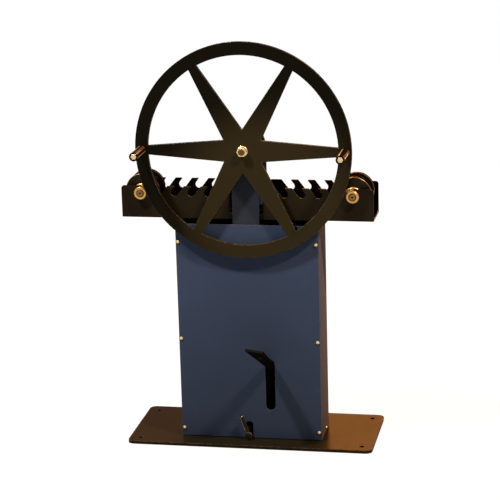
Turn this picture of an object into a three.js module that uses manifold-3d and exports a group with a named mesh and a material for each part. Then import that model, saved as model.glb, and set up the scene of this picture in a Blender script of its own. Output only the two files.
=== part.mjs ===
// Manual ring roller on a floor pedestal, in millimetres: X to the right, Y to the back, Z up.
// The origin is in the middle of the base plate's underside, on the floor.
import * as THREE from 'three';
import { mergeVertices } from 'three/addons/utils/BufferGeometryUtils.js';
import Module from 'manifold-3d';

const wasm = await Module();
wasm.setup();

// Clearances
const seatGap = 0.3;
const runningGap = 0.4;

// Base plate
const baseLength = 711;
const baseDepth = 298;
const baseThickness = 9.5;
const baseCornerRadius = 19;
const anchorHole = 14;
const anchorInset = 32;
const tabWidth = 40;
const tabHeight = 24;
const tabThickness = 4;

// The column stands this far in front of the middle of the base plate.
const columnForward = 20;

// Housing: a bent shell behind a flat front panel
const housingWidth = 408;
const housingDepth = 138;
const housingTop = 645;
const panelThickness = 1.5;
const panelFootGap = 2.5;
const shellThickness = 2;
const shellBendRadius = 5;
const lipWidth = 24;

// Button-head screws of the housing
const screwHead = 10;
const screwHeadHeight = 3;
const screwShank = 5;
const screwLength = 11;
const screwSocket = 3.2;
const panelScrewInset = 6.5;
const panelScrewFoot = 26;
const panelScrewMiddle = 296.5;
const panelScrewDrop = 53;
const sideScrewBack = 15;
const sideScrewRise = 11;

// Openings in the front panel for the foot pedal and the release lever
const pedalX = 58.5;
const pedalSlotWidth = 28;
const pedalSlotLow = 98;
const pedalSlotHigh = 250;
const valveX = -5.5;
const valveHeight = 26;
const valveNotchWidth = 22;
const valveNotchTop = 62;

// Crossbar: two toothed plates on a bottom web
const crossbarLength = 718;
const crossbarDepth = 111;
const crossbarHeight = 91;
const crossbarLow = 658;
const crossbarPlate = 6;
const crossbarWeb = 6;
const crossbarCornerRadius = 8;
const slotWidth = 21.5;
const slotLow = 62;
const slotSlant = 37.5;
const slotEndInset = 57.5;
const slotPitch = 48;
const slotCount = 5;
const shaftNotchWidth = 95;
const shaftNotchLow = 17;
const shaftNotchCorner = 6;

// Uprights, the guide plate between them and the column that lifts the crossbar
const uprightWidth = 76;
const uprightThickness = 8;
const saddleDrop = 16;
const crossbarSideGap = 2;
const valveWindowWidth = 32;
const valveWindowTop = 75;
const guidePlateTop = 612;
const guidePlateThickness = 10;
const guidePlateWidth = 110;
const guideClearance = 0.6;
const liftTube = 50;
const liftTubeWall = 5;

// Drive shaft and its bearings
const shaftHeight = 860;
const shaftDiameter = 25;
const threadDiameter = 19;
const sleeveDiameter = 60;
const sleeveProud = 4;
const bushDiameter = 34;
const bushFlange = 42;
const bushFlangeThickness = 2.5;
const keyWidth = 6.4;
const keyDepth = 3.2;
const dieKeyLength = 56;
const spacerDiameter = 36;
const rearCollarDiameter = 42;
const rearCollarWidth = 14;
const shaftEndProud = 2;

// Handwheel
const wheelDiameter = 610;
const wheelThickness = 9.5;
const wheelPanelGap = 10.5;
const rimWidth = 37;
const spokeCount = 6;
const spokeTipWidth = 26.3;
const notchRadius = 61;
const bossDiameter = 50;
const hubNutAcross = 25.4;
const hubNutHeight = 14;
const hubNutFlange = 30.5;
const hubNutFlangeThickness = 3;
const hubThreadProud = 2.5;

// Hand grips on the wheel's rim
const gripDiameter = 25.4;
const gripLength = 84;
const gripChamfer = 1.5;
const gripBolt = 9.5;
const gripBoltAcross = 14.3;
const gripBoltHead = 6.4;
const gripWasherDiameter = 22;
const gripWasherThickness = 2;

// Dies, with a round groove for pipe
const dieWidth = 70;
const outerDieDiameter = 100;
const driveDieDiameter = 84;
const grooveRadius = 24;
const outerGrooveDepth = 20;
const driveGrooveDepth = 18;
const dieEdgeChamfer = 1.5;
const axleDiameter = 19;
const axleCollarDiameter = 36;
const axleCollarWidth = 13;
const axleEndProud = 1.5;
const axleCentreHole = 6;

// Bottle jack in the foot of the housing
const jackBaseLeft = 58;
const jackBaseRight = 86;
const jackBaseDepth = 104;
const jackBaseHeight = 32;
const jackBaseCorner = 14;
const tankDiameter = 84;
const tankHeight = 192;
const ramDiameter = 44;
const ramFoot = 62;
const saddleDiameter = 56;
const saddleHeight = 10;
const ramProud = 6;
const pumpForward = 28;
const pumpDiameter = 28;
const pumpHeight = 62;
const pistonDiameter = 14;
const pistonFoot = 78;
const pistonHead = 24;
const pistonHeadHeight = 5;
const pistonArmGap = 0.9;
const springWire = 2;
const springTurns = 6;

// Foot pedal on its pivot
const pivotBack = 110;
const pivotHeight = 157;
const pivotPin = 10;
const armSlope = 34;
const armWidth = 25.4;
const armThickness = 6;
const armBarrel = 22;
const armNeckReach = 1.5;
const armShoulderReach = 30;
const treadLeft = 45;
const treadLeftReach = 134;
const treadRight = 3.5;
const treadRightReach = 117;
const pedalHole = 15;
const pedalHoleLeft = 14.5;
const pedalHoleReach = 72;
const earThickness = 6;
const earDepth = 26;
const earGap = 1;

// Release valve spindle and its lever
const spindleDiameter = 12;
const spindleProud = 22;
const leverBoss = 20;
const leverBossLength = 9;
const leverLength = 58;
const leverWidth = 12;
const leverThickness = 3;
const leverLean = 20;
const leverTwist = 40;

// Facets of round shapes
const wheelFacets = 72;
const dieFacets = 30;
const grooveFacets = 7;
const roundFacets = 20;
const smallFacets = 16;
const screwFacets = 12;

// Places that follow from the sizes above
const centreY = -columnForward;
const panelFront = centreY - housingDepth / 2;
const panelBack = panelFront + panelThickness;
const shellBack = centreY + housingDepth / 2;
const uprightTop = shaftHeight - saddleDrop;
const uprightInner = crossbarDepth / 2 + crossbarSideGap;
const uprightOuter = uprightInner + uprightThickness;
const wheelBack = panelFront - wheelPanelGap;
const wheelFront = wheelBack - wheelThickness;
const sleeveOuter = uprightOuter + sleeveProud;
const flangeOuter = sleeveOuter + bushFlangeThickness;
const slotBottomRadius = slotWidth / 2;
const axleX = crossbarLength / 2 - slotEndInset;
const axleHeight = crossbarLow + slotLow + axleDiameter / 2 + seatGap;
const plateInner = crossbarDepth / 2 - crossbarPlate;
const gripRadius = (wheelDiameter - rimWidth) / 2;
const pivotY = panelFront + pivotBack;
const pumpY = pivotY - pumpForward;
const jackTop = baseThickness + jackBaseHeight;
const tankTop = jackTop + tankHeight;
const saddleTop = tankTop + ramProud + saddleHeight;

// Colours and surfaces
const finish = (color, roughness, metalness) =>
  new THREE.MeshStandardMaterial({ color, roughness, metalness, flatShading: true });
const blackPaint = finish(0x1c1b1a, 0.45, 0.0);
const bluePaint = finish(0x2c3a55, 0.5, 0.0);
const zinc = finish(0xc9bfa6, 0.35, 1.0);
const steel = finish(0x8c8a86, 0.4, 1.0);
const dieSteel = finish(0x3a3632, 0.35, 0.9);
const bronze = finish(0xa9793c, 0.4, 1.0);
const blackPlastic = finish(0x121212, 0.25, 0.0);
const jackPaint = finish(0x151413, 0.4, 0.0);

const object = new THREE.Group();
object.name = 'ring_roller';

const radians = THREE.MathUtils.degToRad;

function addPiece(name, geometry, material) {
  const mesh = new THREE.Mesh(weld(geometry), material);
  mesh.name = name;
  object.add(mesh);
}

// A closed mesh with its shared corners merged
function weld(geometry) {
  const bare = geometry.clone();
  bare.deleteAttribute('normal');
  bare.deleteAttribute('uv');
  const welded = mergeVertices(bare);
  welded.computeVertexNormals();
  return welded;
}

function asSolid(geometry) {
  const welded = weld(geometry);
  return new wasm.Manifold(new wasm.Mesh({
    numProp: 3,
    vertProperties: new Float32Array(welded.attributes.position.array),
    triVerts: new Uint32Array(welded.index.array),
  }));
}

function asGeometry(solid) {
  const mesh = solid.getMesh();
  const geometry = new THREE.BufferGeometry();
  geometry.setAttribute('position', new THREE.BufferAttribute(mesh.vertProperties, 3));
  geometry.setIndex(new THREE.BufferAttribute(mesh.triVerts, 1));
  return geometry;
}

function cut(body, ...tools) {
  let solid = asSolid(body);
  for (const tool of tools) {
    solid = solid.subtract(asSolid(tool));
  }
  return asGeometry(solid);
}

function join(first, ...others) {
  let solid = asSolid(first);
  for (const other of others) {
    solid = solid.add(asSolid(other));
  }
  return asGeometry(solid);
}

function box(xLow, xHigh, yLow, yHigh, zLow, zHigh) {
  const geometry = new THREE.BoxGeometry(xHigh - xLow, yHigh - yLow, zHigh - zLow);
  return geometry.translate((xLow + xHigh) / 2, (yLow + yHigh) / 2, (zLow + zHigh) / 2);
}

// An outline drawn in X and Z, as thick as the distance from its front to its back
function upright(outline, yFront, yBack, curveSegments = 8) {
  const geometry = new THREE.ExtrudeGeometry(outline, {
    depth: yBack - yFront,
    bevelEnabled: false,
    curveSegments,
  });
  return geometry.rotateX(Math.PI / 2).translate(0, yBack, 0);
}

// An outline drawn in X and Y, lying flat
function flat(outline, zLow, zHigh, curveSegments = 8) {
  const geometry = new THREE.ExtrudeGeometry(outline, {
    depth: zHigh - zLow,
    bevelEnabled: false,
    curveSegments,
  });
  return geometry.translate(0, 0, zLow);
}

// A shape turned about the Y axis: the points are radius and place along the axis
function turned(points, facets = roundFacets) {
  return new THREE.LatheGeometry(points.map(([radius, along]) => new THREE.Vector2(radius, along)), facets);
}

function rod(diameter, low, high, facets = roundFacets) {
  const radius = diameter / 2;
  return turned([[0, low], [radius, low], [radius, high], [0, high]], facets);
}

function ring(bore, diameter, low, high, facets = roundFacets) {
  const inner = bore / 2;
  const outer = diameter / 2;
  return turned([[inner, low], [outer, low], [outer, high], [inner, high], [inner, low]], facets);
}

// A ring whose two outer edges are broken
function chamferedRing(bore, diameter, low, high, chamfer, facets = roundFacets) {
  const inner = bore / 2;
  const outer = diameter / 2;
  return turned([
    [inner, low],
    [outer - chamfer, low],
    [outer, low + chamfer],
    [outer, high - chamfer],
    [outer - chamfer, high],
    [inner, high],
    [inner, low],
  ], facets);
}

function hexPrism(across, low, high) {
  const corner = across / 2 / Math.cos(Math.PI / 6);
  return turned([[0, low], [corner, low], [corner, high], [0, high]], 6);
}

function circlePath(x, y, radius, facets = smallFacets) {
  const path = new THREE.Path();
  for (let index = 0; index <= facets; index += 1) {
    const angle = -2 * Math.PI * index / facets;
    path[index === 0 ? 'moveTo' : 'lineTo'](x + radius * Math.cos(angle), y + radius * Math.sin(angle));
  }
  return path;
}

// Turned pieces lie along Y; these stand them up or lay them along X.
const standing = (geometry) => geometry.rotateX(Math.PI / 2);
const sideways = (geometry) => geometry.rotateZ(-Math.PI / 2);

function roundedRectangle(xLow, xHigh, yLow, yHigh, radius) {
  const shape = new THREE.Shape();
  shape.moveTo(xLow + radius, yLow);
  shape.lineTo(xHigh - radius, yLow);
  shape.absarc(xHigh - radius, yLow + radius, radius, -Math.PI / 2, 0);
  shape.lineTo(xHigh, yHigh - radius);
  shape.absarc(xHigh - radius, yHigh - radius, radius, 0, Math.PI / 2);
  shape.lineTo(xLow + radius, yHigh);
  shape.absarc(xLow + radius, yHigh - radius, radius, Math.PI / 2, Math.PI);
  shape.lineTo(xLow, yLow + radius);
  shape.absarc(xLow + radius, yLow + radius, radius, Math.PI, 1.5 * Math.PI);
  return shape;
}

// Base plate with its four anchor holes and the two tabs that hold the housing's sides
function basePlate() {
  const halfLength = baseLength / 2;
  const halfDepth = baseDepth / 2;
  const outline = roundedRectangle(-halfLength, halfLength, -halfDepth, halfDepth, baseCornerRadius);
  for (const x of [-halfLength + anchorInset, halfLength - anchorInset]) {
    for (const y of [-halfDepth + anchorInset, halfDepth - anchorInset]) {
      outline.holes.push(circlePath(x, y, anchorHole / 2));
    }
  }
  let plate = flat(outline, 0, baseThickness, 4);
  for (const side of [-1, 1]) {
    plate = join(plate, housingTab(side));
  }
  return plate;
}

function housingTab(side) {
  const outer = housingWidth / 2 - shellThickness - seatGap;
  const inner = outer - tabThickness;
  const middle = centreY + sideScrewBack;
  const height = baseThickness + tabHeight;
  const tab = box(
    Math.min(side * inner, side * outer), Math.max(side * inner, side * outer),
    middle - tabWidth / 2, middle + tabWidth / 2, baseThickness - 1, height,
  );
  return cut(tab, sideScrewHole(side));
}

function sideScrewHole(side) {
  const reach = housingWidth / 2 + screwLength;
  const hole = sideways(rod(screwShank + 2 * seatGap, -screwLength * 2, screwLength, screwFacets));
  return hole.translate(side > 0 ? reach - screwLength : -reach + 2 * screwLength,
    centreY + sideScrewBack, baseThickness + sideScrewRise);
}

// Housing shell: the two sides, the back and the two lips behind the front panel, bent from one sheet
function housingShell() {
  const half = housingWidth / 2;
  const outer = new THREE.Shape();
  outer.moveTo(-half, panelBack);
  outer.lineTo(half, panelBack);
  outer.lineTo(half, shellBack - shellBendRadius);
  outer.absarc(half - shellBendRadius, shellBack - shellBendRadius, shellBendRadius, 0, Math.PI / 2);
  outer.lineTo(-half + shellBendRadius, shellBack);
  outer.absarc(-half + shellBendRadius, shellBack - shellBendRadius, shellBendRadius, Math.PI / 2, Math.PI);
  const innerRadius = shellBendRadius - shellThickness;
  const inner = roundedRectangle(-half + shellThickness, half - shellThickness,
    panelBack + shellThickness, shellBack - shellThickness, innerRadius);
  const body = flat(outer, baseThickness, housingTop, 4);
  const hollow = flat(inner, baseThickness - 1, housingTop + 1, 4);
  const mouth = box(-half + lipWidth, half - lipWidth, panelBack - 1, panelBack + shellThickness + 1,
    baseThickness - 1, housingTop + 1);
  const holes = panelScrewPlaces().map(([x, z]) => panelScrewHole(x, z));
  return cut(body, hollow, mouth, ...holes, sideScrewHole(-1), sideScrewHole(1));
}

function panelScrewPlaces() {
  const heights = [
    housingTop - panelScrewDrop,
    baseThickness + panelScrewMiddle,
    baseThickness + panelScrewFoot,
  ];
  const x = housingWidth / 2 - panelScrewInset;
  const places = [];
  for (const z of heights) {
    places.push([-x, z], [x, z]);
  }
  return places;
}

function panelScrewHole(x, z) {
  const hole = rod(screwShank + 2 * seatGap, panelFront - 1, panelFront + screwLength, screwFacets);
  return hole.translate(x, 0, z);
}

// Front panel with the pedal's slot and the arched notch at its foot
function frontPanel() {
  const half = housingWidth / 2;
  const low = baseThickness + panelFootGap;
  const notchRadiusHere = valveNotchWidth / 2;
  const outline = new THREE.Shape();
  outline.moveTo(-half, low);
  outline.lineTo(valveX - notchRadiusHere, low);
  outline.lineTo(valveX - notchRadiusHere, valveNotchTop - notchRadiusHere);
  outline.absarc(valveX, valveNotchTop - notchRadiusHere, notchRadiusHere, Math.PI, 0, true);
  outline.lineTo(valveX + notchRadiusHere, low);
  outline.lineTo(half, low);
  outline.lineTo(half, housingTop);
  outline.lineTo(-half, housingTop);
  outline.holes.push(pedalSlot());
  return cut(upright(outline, panelFront, panelBack, 6),
    ...panelScrewPlaces().map(([x, z]) => panelScrewHole(x, z)));
}

function pedalSlot() {
  const radius = pedalSlotWidth / 2;
  const slot = new THREE.Path();
  slot.moveTo(pedalX - radius, pedalSlotHigh - radius);
  slot.lineTo(pedalX - radius, pedalSlotLow + radius);
  slot.absarc(pedalX, pedalSlotLow + radius, radius, Math.PI, 2 * Math.PI);
  slot.lineTo(pedalX + radius, pedalSlotHigh - radius);
  slot.absarc(pedalX, pedalSlotHigh - radius, radius, 0, Math.PI);
  return slot;
}

// Button-head screw along Y, its head's underside at zero and its shank behind it
function buttonScrew() {
  const head = screwHead / 2;
  const shank = screwShank / 2;
  const body = turned([
    [0, -screwHeadHeight],
    [head * 0.6, -screwHeadHeight],
    [head * 0.9, -screwHeadHeight * 0.6],
    [head, 0],
    [shank, 0],
    [shank, screwLength - screwHeadHeight],
    [0, screwLength - screwHeadHeight],
  ], screwFacets);
  return cut(body, hexPrism(screwSocket, -screwHeadHeight - 1, -screwHeadHeight * 0.4));
}

function addHousingScrews() {
  panelScrewPlaces().forEach(([x, z], index) => {
    addPiece(`panel_screw_${index + 1}`, buttonScrew().translate(x, panelFront - seatGap, z), zinc);
  });
  for (const [name, side] of [['side_screw_left', -1], ['side_screw_right', 1]]) {
    const screw = buttonScrew().rotateZ(side * Math.PI / 2);
    const x = side * (housingWidth / 2 + seatGap);
    addPiece(name, screw.translate(x, centreY + sideScrewBack, baseThickness + sideScrewRise), zinc);
  }
}

// Uprights: flat bars from the base plate to the shaft, with a round saddle for the bearing sleeve
function uprightBar(yFront, yBack, hasWindow) {
  const bar = box(-uprightWidth / 2, uprightWidth / 2, yFront, yBack, baseThickness, uprightTop);
  const saddle = rod(sleeveDiameter + 2 * seatGap, yFront - 1, yBack + 1).translate(0, 0, shaftHeight);
  if (!hasWindow) {
    return cut(bar, saddle);
  }
  const radius = valveWindowWidth / 2;
  const window = new THREE.Shape();
  window.moveTo(valveX - radius, baseThickness - 1);
  window.lineTo(valveX + radius, baseThickness - 1);
  window.lineTo(valveX + radius, valveWindowTop - radius);
  window.absarc(valveX, valveWindowTop - radius, radius, 0, Math.PI);
  return cut(bar, saddle, upright(window, yFront - 1, yBack + 1));
}

// Guide plate welded between the uprights, square hole for the lifting column
function guidePlate() {
  const half = guidePlateWidth / 2;
  const low = guidePlateTop - guidePlateThickness;
  const plate = box(-half, half, centreY - uprightInner, centreY + uprightInner, low, guidePlateTop);
  const hole = liftTube / 2 + guideClearance;
  return cut(plate, box(-hole, hole, centreY - hole, centreY + hole, low - 1, guidePlateTop + 1));
}

function bearingSleeve(low, high) {
  const sleeve = chamferedRing(bushDiameter + 2 * seatGap, sleeveDiameter, low, high, 1.5);
  return sleeve.translate(0, 0, shaftHeight);
}

// Flanged bush: the flange is on the side that faces away from the column
function bearingBush(side) {
  const inner = shaftDiameter / 2 + runningGap;
  const body = bushDiameter / 2;
  const flange = bushFlange / 2;
  const near = side * uprightInner;
  const step = side * (sleeveOuter + seatGap);
  const far = side * flangeOuter;
  const points = [[inner, near], [body, near], [body, step], [flange, step], [flange, far], [inner, far]];
  const closed = side > 0 ? [...points, points[0]] : [...points.reverse(), points[0]];
  return turned(closed).translate(0, centreY, shaftHeight);
}

// Key and the seat that it leaves in what it locks, above the shaft's axis
function keyBar(low, high, gap) {
  const half = keyWidth / 2 + gap;
  const bottom = shaftHeight + shaftDiameter / 2 - keyDepth - gap;
  return box(-half, half, low - gap, high + gap, bottom, bottom + keyWidth + 2 * gap);
}

const wheelKeyEnds = [wheelFront + 1, centreY - flangeOuter - 1.5];
const dieKeyEnds = [centreY - dieKeyLength / 2, centreY + dieKeyLength / 2];
const shaftRearEnd = centreY + flangeOuter + seatGap + rearCollarWidth + shaftEndProud;

function driveShaft() {
  const shoulder = wheelFront + 2;
  const tip = wheelFront - seatGap - hubNutHeight - hubThreadProud;
  const radius = shaftDiameter / 2;
  const thread = threadDiameter / 2;
  const body = turned([
    [0, tip],
    [thread - 1, tip],
    [thread, tip + 1],
    [thread, shoulder],
    [radius, shoulder],
    [radius, shaftRearEnd - 1.5],
    [radius - 1.5, shaftRearEnd],
    [0, shaftRearEnd],
  ]).translate(0, 0, shaftHeight);
  return cut(body, keyBar(...wheelKeyEnds, seatGap), keyBar(...dieKeyEnds, seatGap));
}

// Handwheel: a flat rim and a six-pointed star of tapered spokes, cut from one plate
function handwheel() {
  const outline = new THREE.Shape();
  outline.absarc(0, 0, wheelDiameter / 2, 0, 2 * Math.PI);
  for (let index = 0; index < spokeCount; index += 1) {
    outline.holes.push(wheelWindow(index * 2 * Math.PI / spokeCount));
  }
  for (const side of [-1, 1]) {
    outline.holes.push(circlePath(side * gripRadius, 0, gripBolt / 2 + seatGap));
  }
  outline.holes.push(circlePath(0, 0, shaftDiameter / 2 + seatGap, roundFacets));
  const plate = upright(outline, wheelFront, wheelBack, wheelFacets / 2).translate(0, 0, shaftHeight);
  return cut(plate, keyBar(...wheelKeyEnds, seatGap));
}

// The window between the spoke at this angle and the next one, anticlockwise
function wheelWindow(angle) {
  const step = 2 * Math.PI / spokeCount;
  const inner = wheelDiameter / 2 - rimWidth;
  const spread = Math.asin(spokeTipWidth / 2 / inner);
  const start = angle + spread;
  const end = angle + step - spread;
  const middle = angle + step / 2;
  const window = new THREE.Path();
  window.moveTo(notchRadius * Math.cos(middle), notchRadius * Math.sin(middle));
  window.lineTo(inner * Math.cos(start), inner * Math.sin(start));
  const arcSteps = 9;
  for (let index = 1; index <= arcSteps; index += 1) {
    const along = start + (end - start) * index / arcSteps;
    window.lineTo(inner * Math.cos(along), inner * Math.sin(along));
  }
  window.closePath();
  return window;
}

// Boss between the wheel and the front bearing
function wheelBoss() {
  const body = chamferedRing(shaftDiameter + 2 * seatGap, bossDiameter,
    wheelBack, centreY - flangeOuter - seatGap, 1).translate(0, 0, shaftHeight);
  return cut(body, keyBar(...wheelKeyEnds, seatGap));
}

// Hub nut with a round flange against the wheel
function hubNut() {
  const back = wheelFront - seatGap;
  const front = back - hubNutHeight;
  const hex = hexPrism(hubNutAcross, front, back);
  const flange = rod(hubNutFlange, back - hubNutFlangeThickness, back);
  const bore = rod(threadDiameter + 2 * seatGap, front - 1, back + 1);
  return cut(join(hex, flange), bore).translate(0, 0, shaftHeight);
}

// Grooved die: flat edges on both sides of a round groove
function groovedDie(diameter, grooveDepth, bore) {
  const radius = diameter / 2;
  const half = dieWidth / 2;
  const centreRadius = radius - grooveDepth + grooveRadius;
  const edge = Math.sqrt(grooveRadius ** 2 - (centreRadius - radius) ** 2);
  const sweep = Math.asin(edge / grooveRadius);
  const points = [[bore / 2, -half], [radius - dieEdgeChamfer, -half], [radius, -half + dieEdgeChamfer]];
  for (let index = 0; index <= grooveFacets; index += 1) {
    const angle = -sweep + 2 * sweep * index / grooveFacets;
    points.push([centreRadius - grooveRadius * Math.cos(angle), grooveRadius * Math.sin(angle)]);
  }
  points.push([radius, half - dieEdgeChamfer], [radius - dieEdgeChamfer, half], [bore / 2, half]);
  points.push(points[0]);
  return turned(points, dieFacets);
}

function driveDie() {
  const die = groovedDie(driveDieDiameter, driveGrooveDepth, shaftDiameter + 2 * seatGap);
  const seat = keyBar(centreY - dieWidth, centreY + dieWidth, seatGap);
  return cut(die.translate(0, centreY, shaftHeight), seat);
}

function addDriveLine() {
  addPiece('drive_shaft', driveShaft(), steel);
  addPiece('drive_die', driveDie(), dieSteel);
  addPiece('handwheel', handwheel(), blackPaint);
  addPiece('wheel_boss', wheelBoss(), blackPaint);
  addPiece('hub_nut', hubNut(), zinc);
  addPiece('wheel_key', keyBar(...wheelKeyEnds, 0), steel);
  addPiece('die_key', keyBar(...dieKeyEnds, 0), steel);
  const bore = shaftDiameter + 2 * seatGap;
  const near = dieWidth / 2 + seatGap;
  const far = uprightInner - seatGap;
  for (const [name, side] of [['drive_spacer_front', -1], ['drive_spacer_rear', 1]]) {
    const [low, high] = side > 0 ? [near, far] : [-far, -near];
    addPiece(name, ring(bore, spacerDiameter, low, high).translate(0, centreY, shaftHeight), steel);
  }
  const collarLow = centreY + flangeOuter + seatGap;
  const collar = chamferedRing(bore, rearCollarDiameter, collarLow, collarLow + rearCollarWidth, 1.5);
  addPiece('rear_collar', collar.translate(0, 0, shaftHeight), zinc);
}

// Bearings on the two uprights, each a sleeve in the saddle with a flanged bush inside it
function addBearings() {
  addPiece('bearing_sleeve_front', bearingSleeve(centreY - sleeveOuter, centreY - uprightInner), bluePaint);
  addPiece('bearing_sleeve_rear', bearingSleeve(centreY + uprightInner, centreY + sleeveOuter), bluePaint);
  addPiece('bearing_bush_front', bearingBush(-1), bronze);
  addPiece('bearing_bush_rear', bearingBush(1), bronze);
}

// Grips: a sleeve that turns on a bolt screwed into the rim, over a washer
function addGrips() {
  const washerFront = wheelFront - gripWasherThickness;
  const sleeveBack = washerFront - seatGap;
  const sleeveFront = sleeveBack - gripLength;
  const headBack = sleeveFront - seatGap;
  for (const [name, side] of [['left', -1], ['right', 1]]) {
    const x = side * gripRadius;
    const gripBore = gripBolt + 2 * runningGap;
    const sleeve = chamferedRing(gripBore, gripDiameter, sleeveFront, sleeveBack, gripChamfer);
    addPiece(`${name}_grip`, sleeve.translate(x, 0, shaftHeight), blackPlastic);
    const washerBore = gripBolt + 2 * seatGap;
    const washer = ring(washerBore, gripWasherDiameter, washerFront, wheelFront, smallFacets + 8);
    addPiece(`${name}_grip_washer`, washer.translate(x, 0, shaftHeight), zinc);
    const head = hexPrism(gripBoltAcross, headBack - gripBoltHead, headBack);
    const shank = rod(gripBolt, headBack - 1, wheelBack, smallFacets);
    addPiece(`${name}_grip_bolt`, join(head, shank).translate(x, 0, shaftHeight), zinc);
  }
}

// Slanted slot, open at the plate's top, drawn about its lowest round end
function slotCutter(x, side) {
  const radius = slotBottomRadius;
  const centreHeight = slotLow + radius;
  const length = 2 * crossbarHeight;
  const lean = radians(slotSlant) * side;
  const slot = new THREE.Shape();
  slot.absarc(0, 0, radius, Math.PI, 2 * Math.PI);
  slot.lineTo(radius, length);
  slot.lineTo(-radius, length);
  return upright(slot, -crossbarPlate, crossbarPlate, 5)
    .rotateY(-lean)
    .translate(x, 0, crossbarLow + centreHeight);
}

// Toothed plate of the crossbar
function crossbarPlateBody() {
  const half = crossbarLength / 2;
  const notch = shaftNotchWidth / 2;
  const low = crossbarLow;
  const high = crossbarLow + crossbarHeight;
  const floor = crossbarLow + shaftNotchLow;
  const round = crossbarCornerRadius;
  const outline = new THREE.Shape();
  outline.moveTo(-half, low);
  outline.lineTo(half, low);
  outline.lineTo(half, high - round);
  outline.absarc(half - round, high - round, round, 0, Math.PI / 2);
  outline.lineTo(notch + round, high);
  outline.absarc(notch + round, high - round, round, Math.PI / 2, Math.PI);
  outline.lineTo(notch, floor + shaftNotchCorner);
  outline.absarc(notch - shaftNotchCorner, floor + shaftNotchCorner, shaftNotchCorner, 0, -Math.PI / 2, true);
  outline.lineTo(-notch + shaftNotchCorner, floor);
  outline.absarc(-notch + shaftNotchCorner, floor + shaftNotchCorner, shaftNotchCorner,
    -Math.PI / 2, -Math.PI, true);
  outline.lineTo(-notch, high - round);
  outline.absarc(-notch - round, high - round, round, 0, Math.PI / 2);
  outline.lineTo(-half + round, high);
  outline.absarc(-half + round, high - round, round, Math.PI / 2, Math.PI);
  const cutters = [];
  for (const side of [-1, 1]) {
    for (let index = 0; index < slotCount; index += 1) {
      const x = axleX - slotPitch * index;
      cutters.push(slotCutter(side * x, side).translate(0, crossbarPlate / 2, 0));
    }
  }
  return cut(upright(outline, 0, crossbarPlate, 3), ...cutters);
}

function addCrossbar() {
  const front = centreY - crossbarDepth / 2;
  addPiece('crossbar_front_plate', crossbarPlateBody().translate(0, front, 0), blackPaint);
  const rear = centreY + plateInner;
  addPiece('crossbar_rear_plate', crossbarPlateBody().translate(0, rear, 0), blackPaint);
  const web = box(-crossbarLength / 2, crossbarLength / 2, centreY - plateInner, centreY + plateInner,
    crossbarLow, crossbarLow + crossbarWeb);
  addPiece('crossbar_web', web, blackPaint);
}

// Axles in the outermost slots, each with a die, two spacers inside and two collars outside
function addOuterDies() {
  const outerFace = crossbarDepth / 2 + seatGap;
  const collarEnd = outerFace + axleCollarWidth;
  const bore = axleDiameter + 2 * seatGap;
  for (const [name, side] of [['left', -1], ['right', 1]]) {
    const put = (geometry) => geometry.translate(side * axleX, centreY, axleHeight);
    addPiece(`${name}_axle`, put(dieAxle(collarEnd + axleEndProud)), steel);
    const die = groovedDie(outerDieDiameter, outerGrooveDepth, axleDiameter + 2 * runningGap);
    addPiece(`${name}_die`, put(die), dieSteel);
    for (const [place, end] of [['front', -1], ['rear', 1]]) {
      const collarSpan = [end * outerFace, end * collarEnd].sort((a, b) => a - b);
      const collar = chamferedRing(bore, axleCollarDiameter, ...collarSpan, 1.5);
      addPiece(`${name}_axle_collar_${place}`, put(collar), zinc);
      const spacerSpan = [end * (dieWidth / 2 + seatGap), end * (plateInner - seatGap)].sort((a, b) => a - b);
      const spacer = ring(bore, axleCollarDiameter, ...spacerSpan);
      addPiece(`${name}_axle_spacer_${place}`, put(spacer), zinc);
    }
  }
}

// Axle with broken edges and a centre hole in each end
function dieAxle(reach) {
  const radius = axleDiameter / 2;
  const hole = axleCentreHole / 2;
  return turned([
    [0, -reach + hole],
    [hole, -reach],
    [radius - 1, -reach],
    [radius, -reach + 1],
    [radius, reach - 1],
    [radius - 1, reach],
    [hole, reach],
    [0, reach - hole],
  ], smallFacets + 4);
}

// Square lifting column under the crossbar, open at its top and closed by a foot
function liftColumn() {
  const half = liftTube / 2;
  const inner = half - liftTubeWall;
  const low = saddleTop + seatGap;
  const tube = box(-half, half, centreY - half, centreY + half, low, crossbarLow);
  const floor = low + liftTubeWall * 2;
  return cut(tube, box(-inner, inner, centreY - inner, centreY + inner, floor, crossbarLow + 1));
}

function jackRam() {
  const radius = ramDiameter / 2;
  const saddle = saddleDiameter / 2;
  const low = saddleTop - saddleHeight;
  return standing(turned([
    [0, ramFoot],
    [radius, ramFoot],
    [radius, low],
    [saddle - 2, low],
    [saddle, low + 2],
    [saddle, saddleTop - 2],
    [saddle - 2, saddleTop],
    [0, saddleTop],
  ])).translate(0, centreY, 0);
}

// Jack base: the casting under the tank and the pump, with the two ears of the pedal's pivot
function jackBase() {
  const halfDepth = jackBaseDepth / 2;
  const outline = roundedRectangle(-jackBaseLeft, jackBaseRight, centreY - halfDepth, centreY + halfDepth,
    jackBaseCorner);
  let casting = flat(outline, baseThickness, jackTop, 5);
  for (const side of [-1, 1]) {
    casting = join(casting, pivotEar(side));
  }
  const pinHole = sideways(rod(pivotPin + 2 * seatGap, -armWidth, armWidth, smallFacets))
    .translate(pedalX, pivotY, pivotHeight);
  const valveHole = rod(spindleDiameter + 2 * runningGap, centreY - halfDepth - 1, centreY - halfDepth + 20,
    smallFacets).translate(valveX, 0, valveHeight);
  const pumpWell = standing(rod(pistonDiameter + 2 * runningGap, jackTop - 10, jackTop + 1, smallFacets))
    .translate(pedalX, pumpY, 0);
  return cut(casting, pinHole, valveHole, pumpWell);
}

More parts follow.
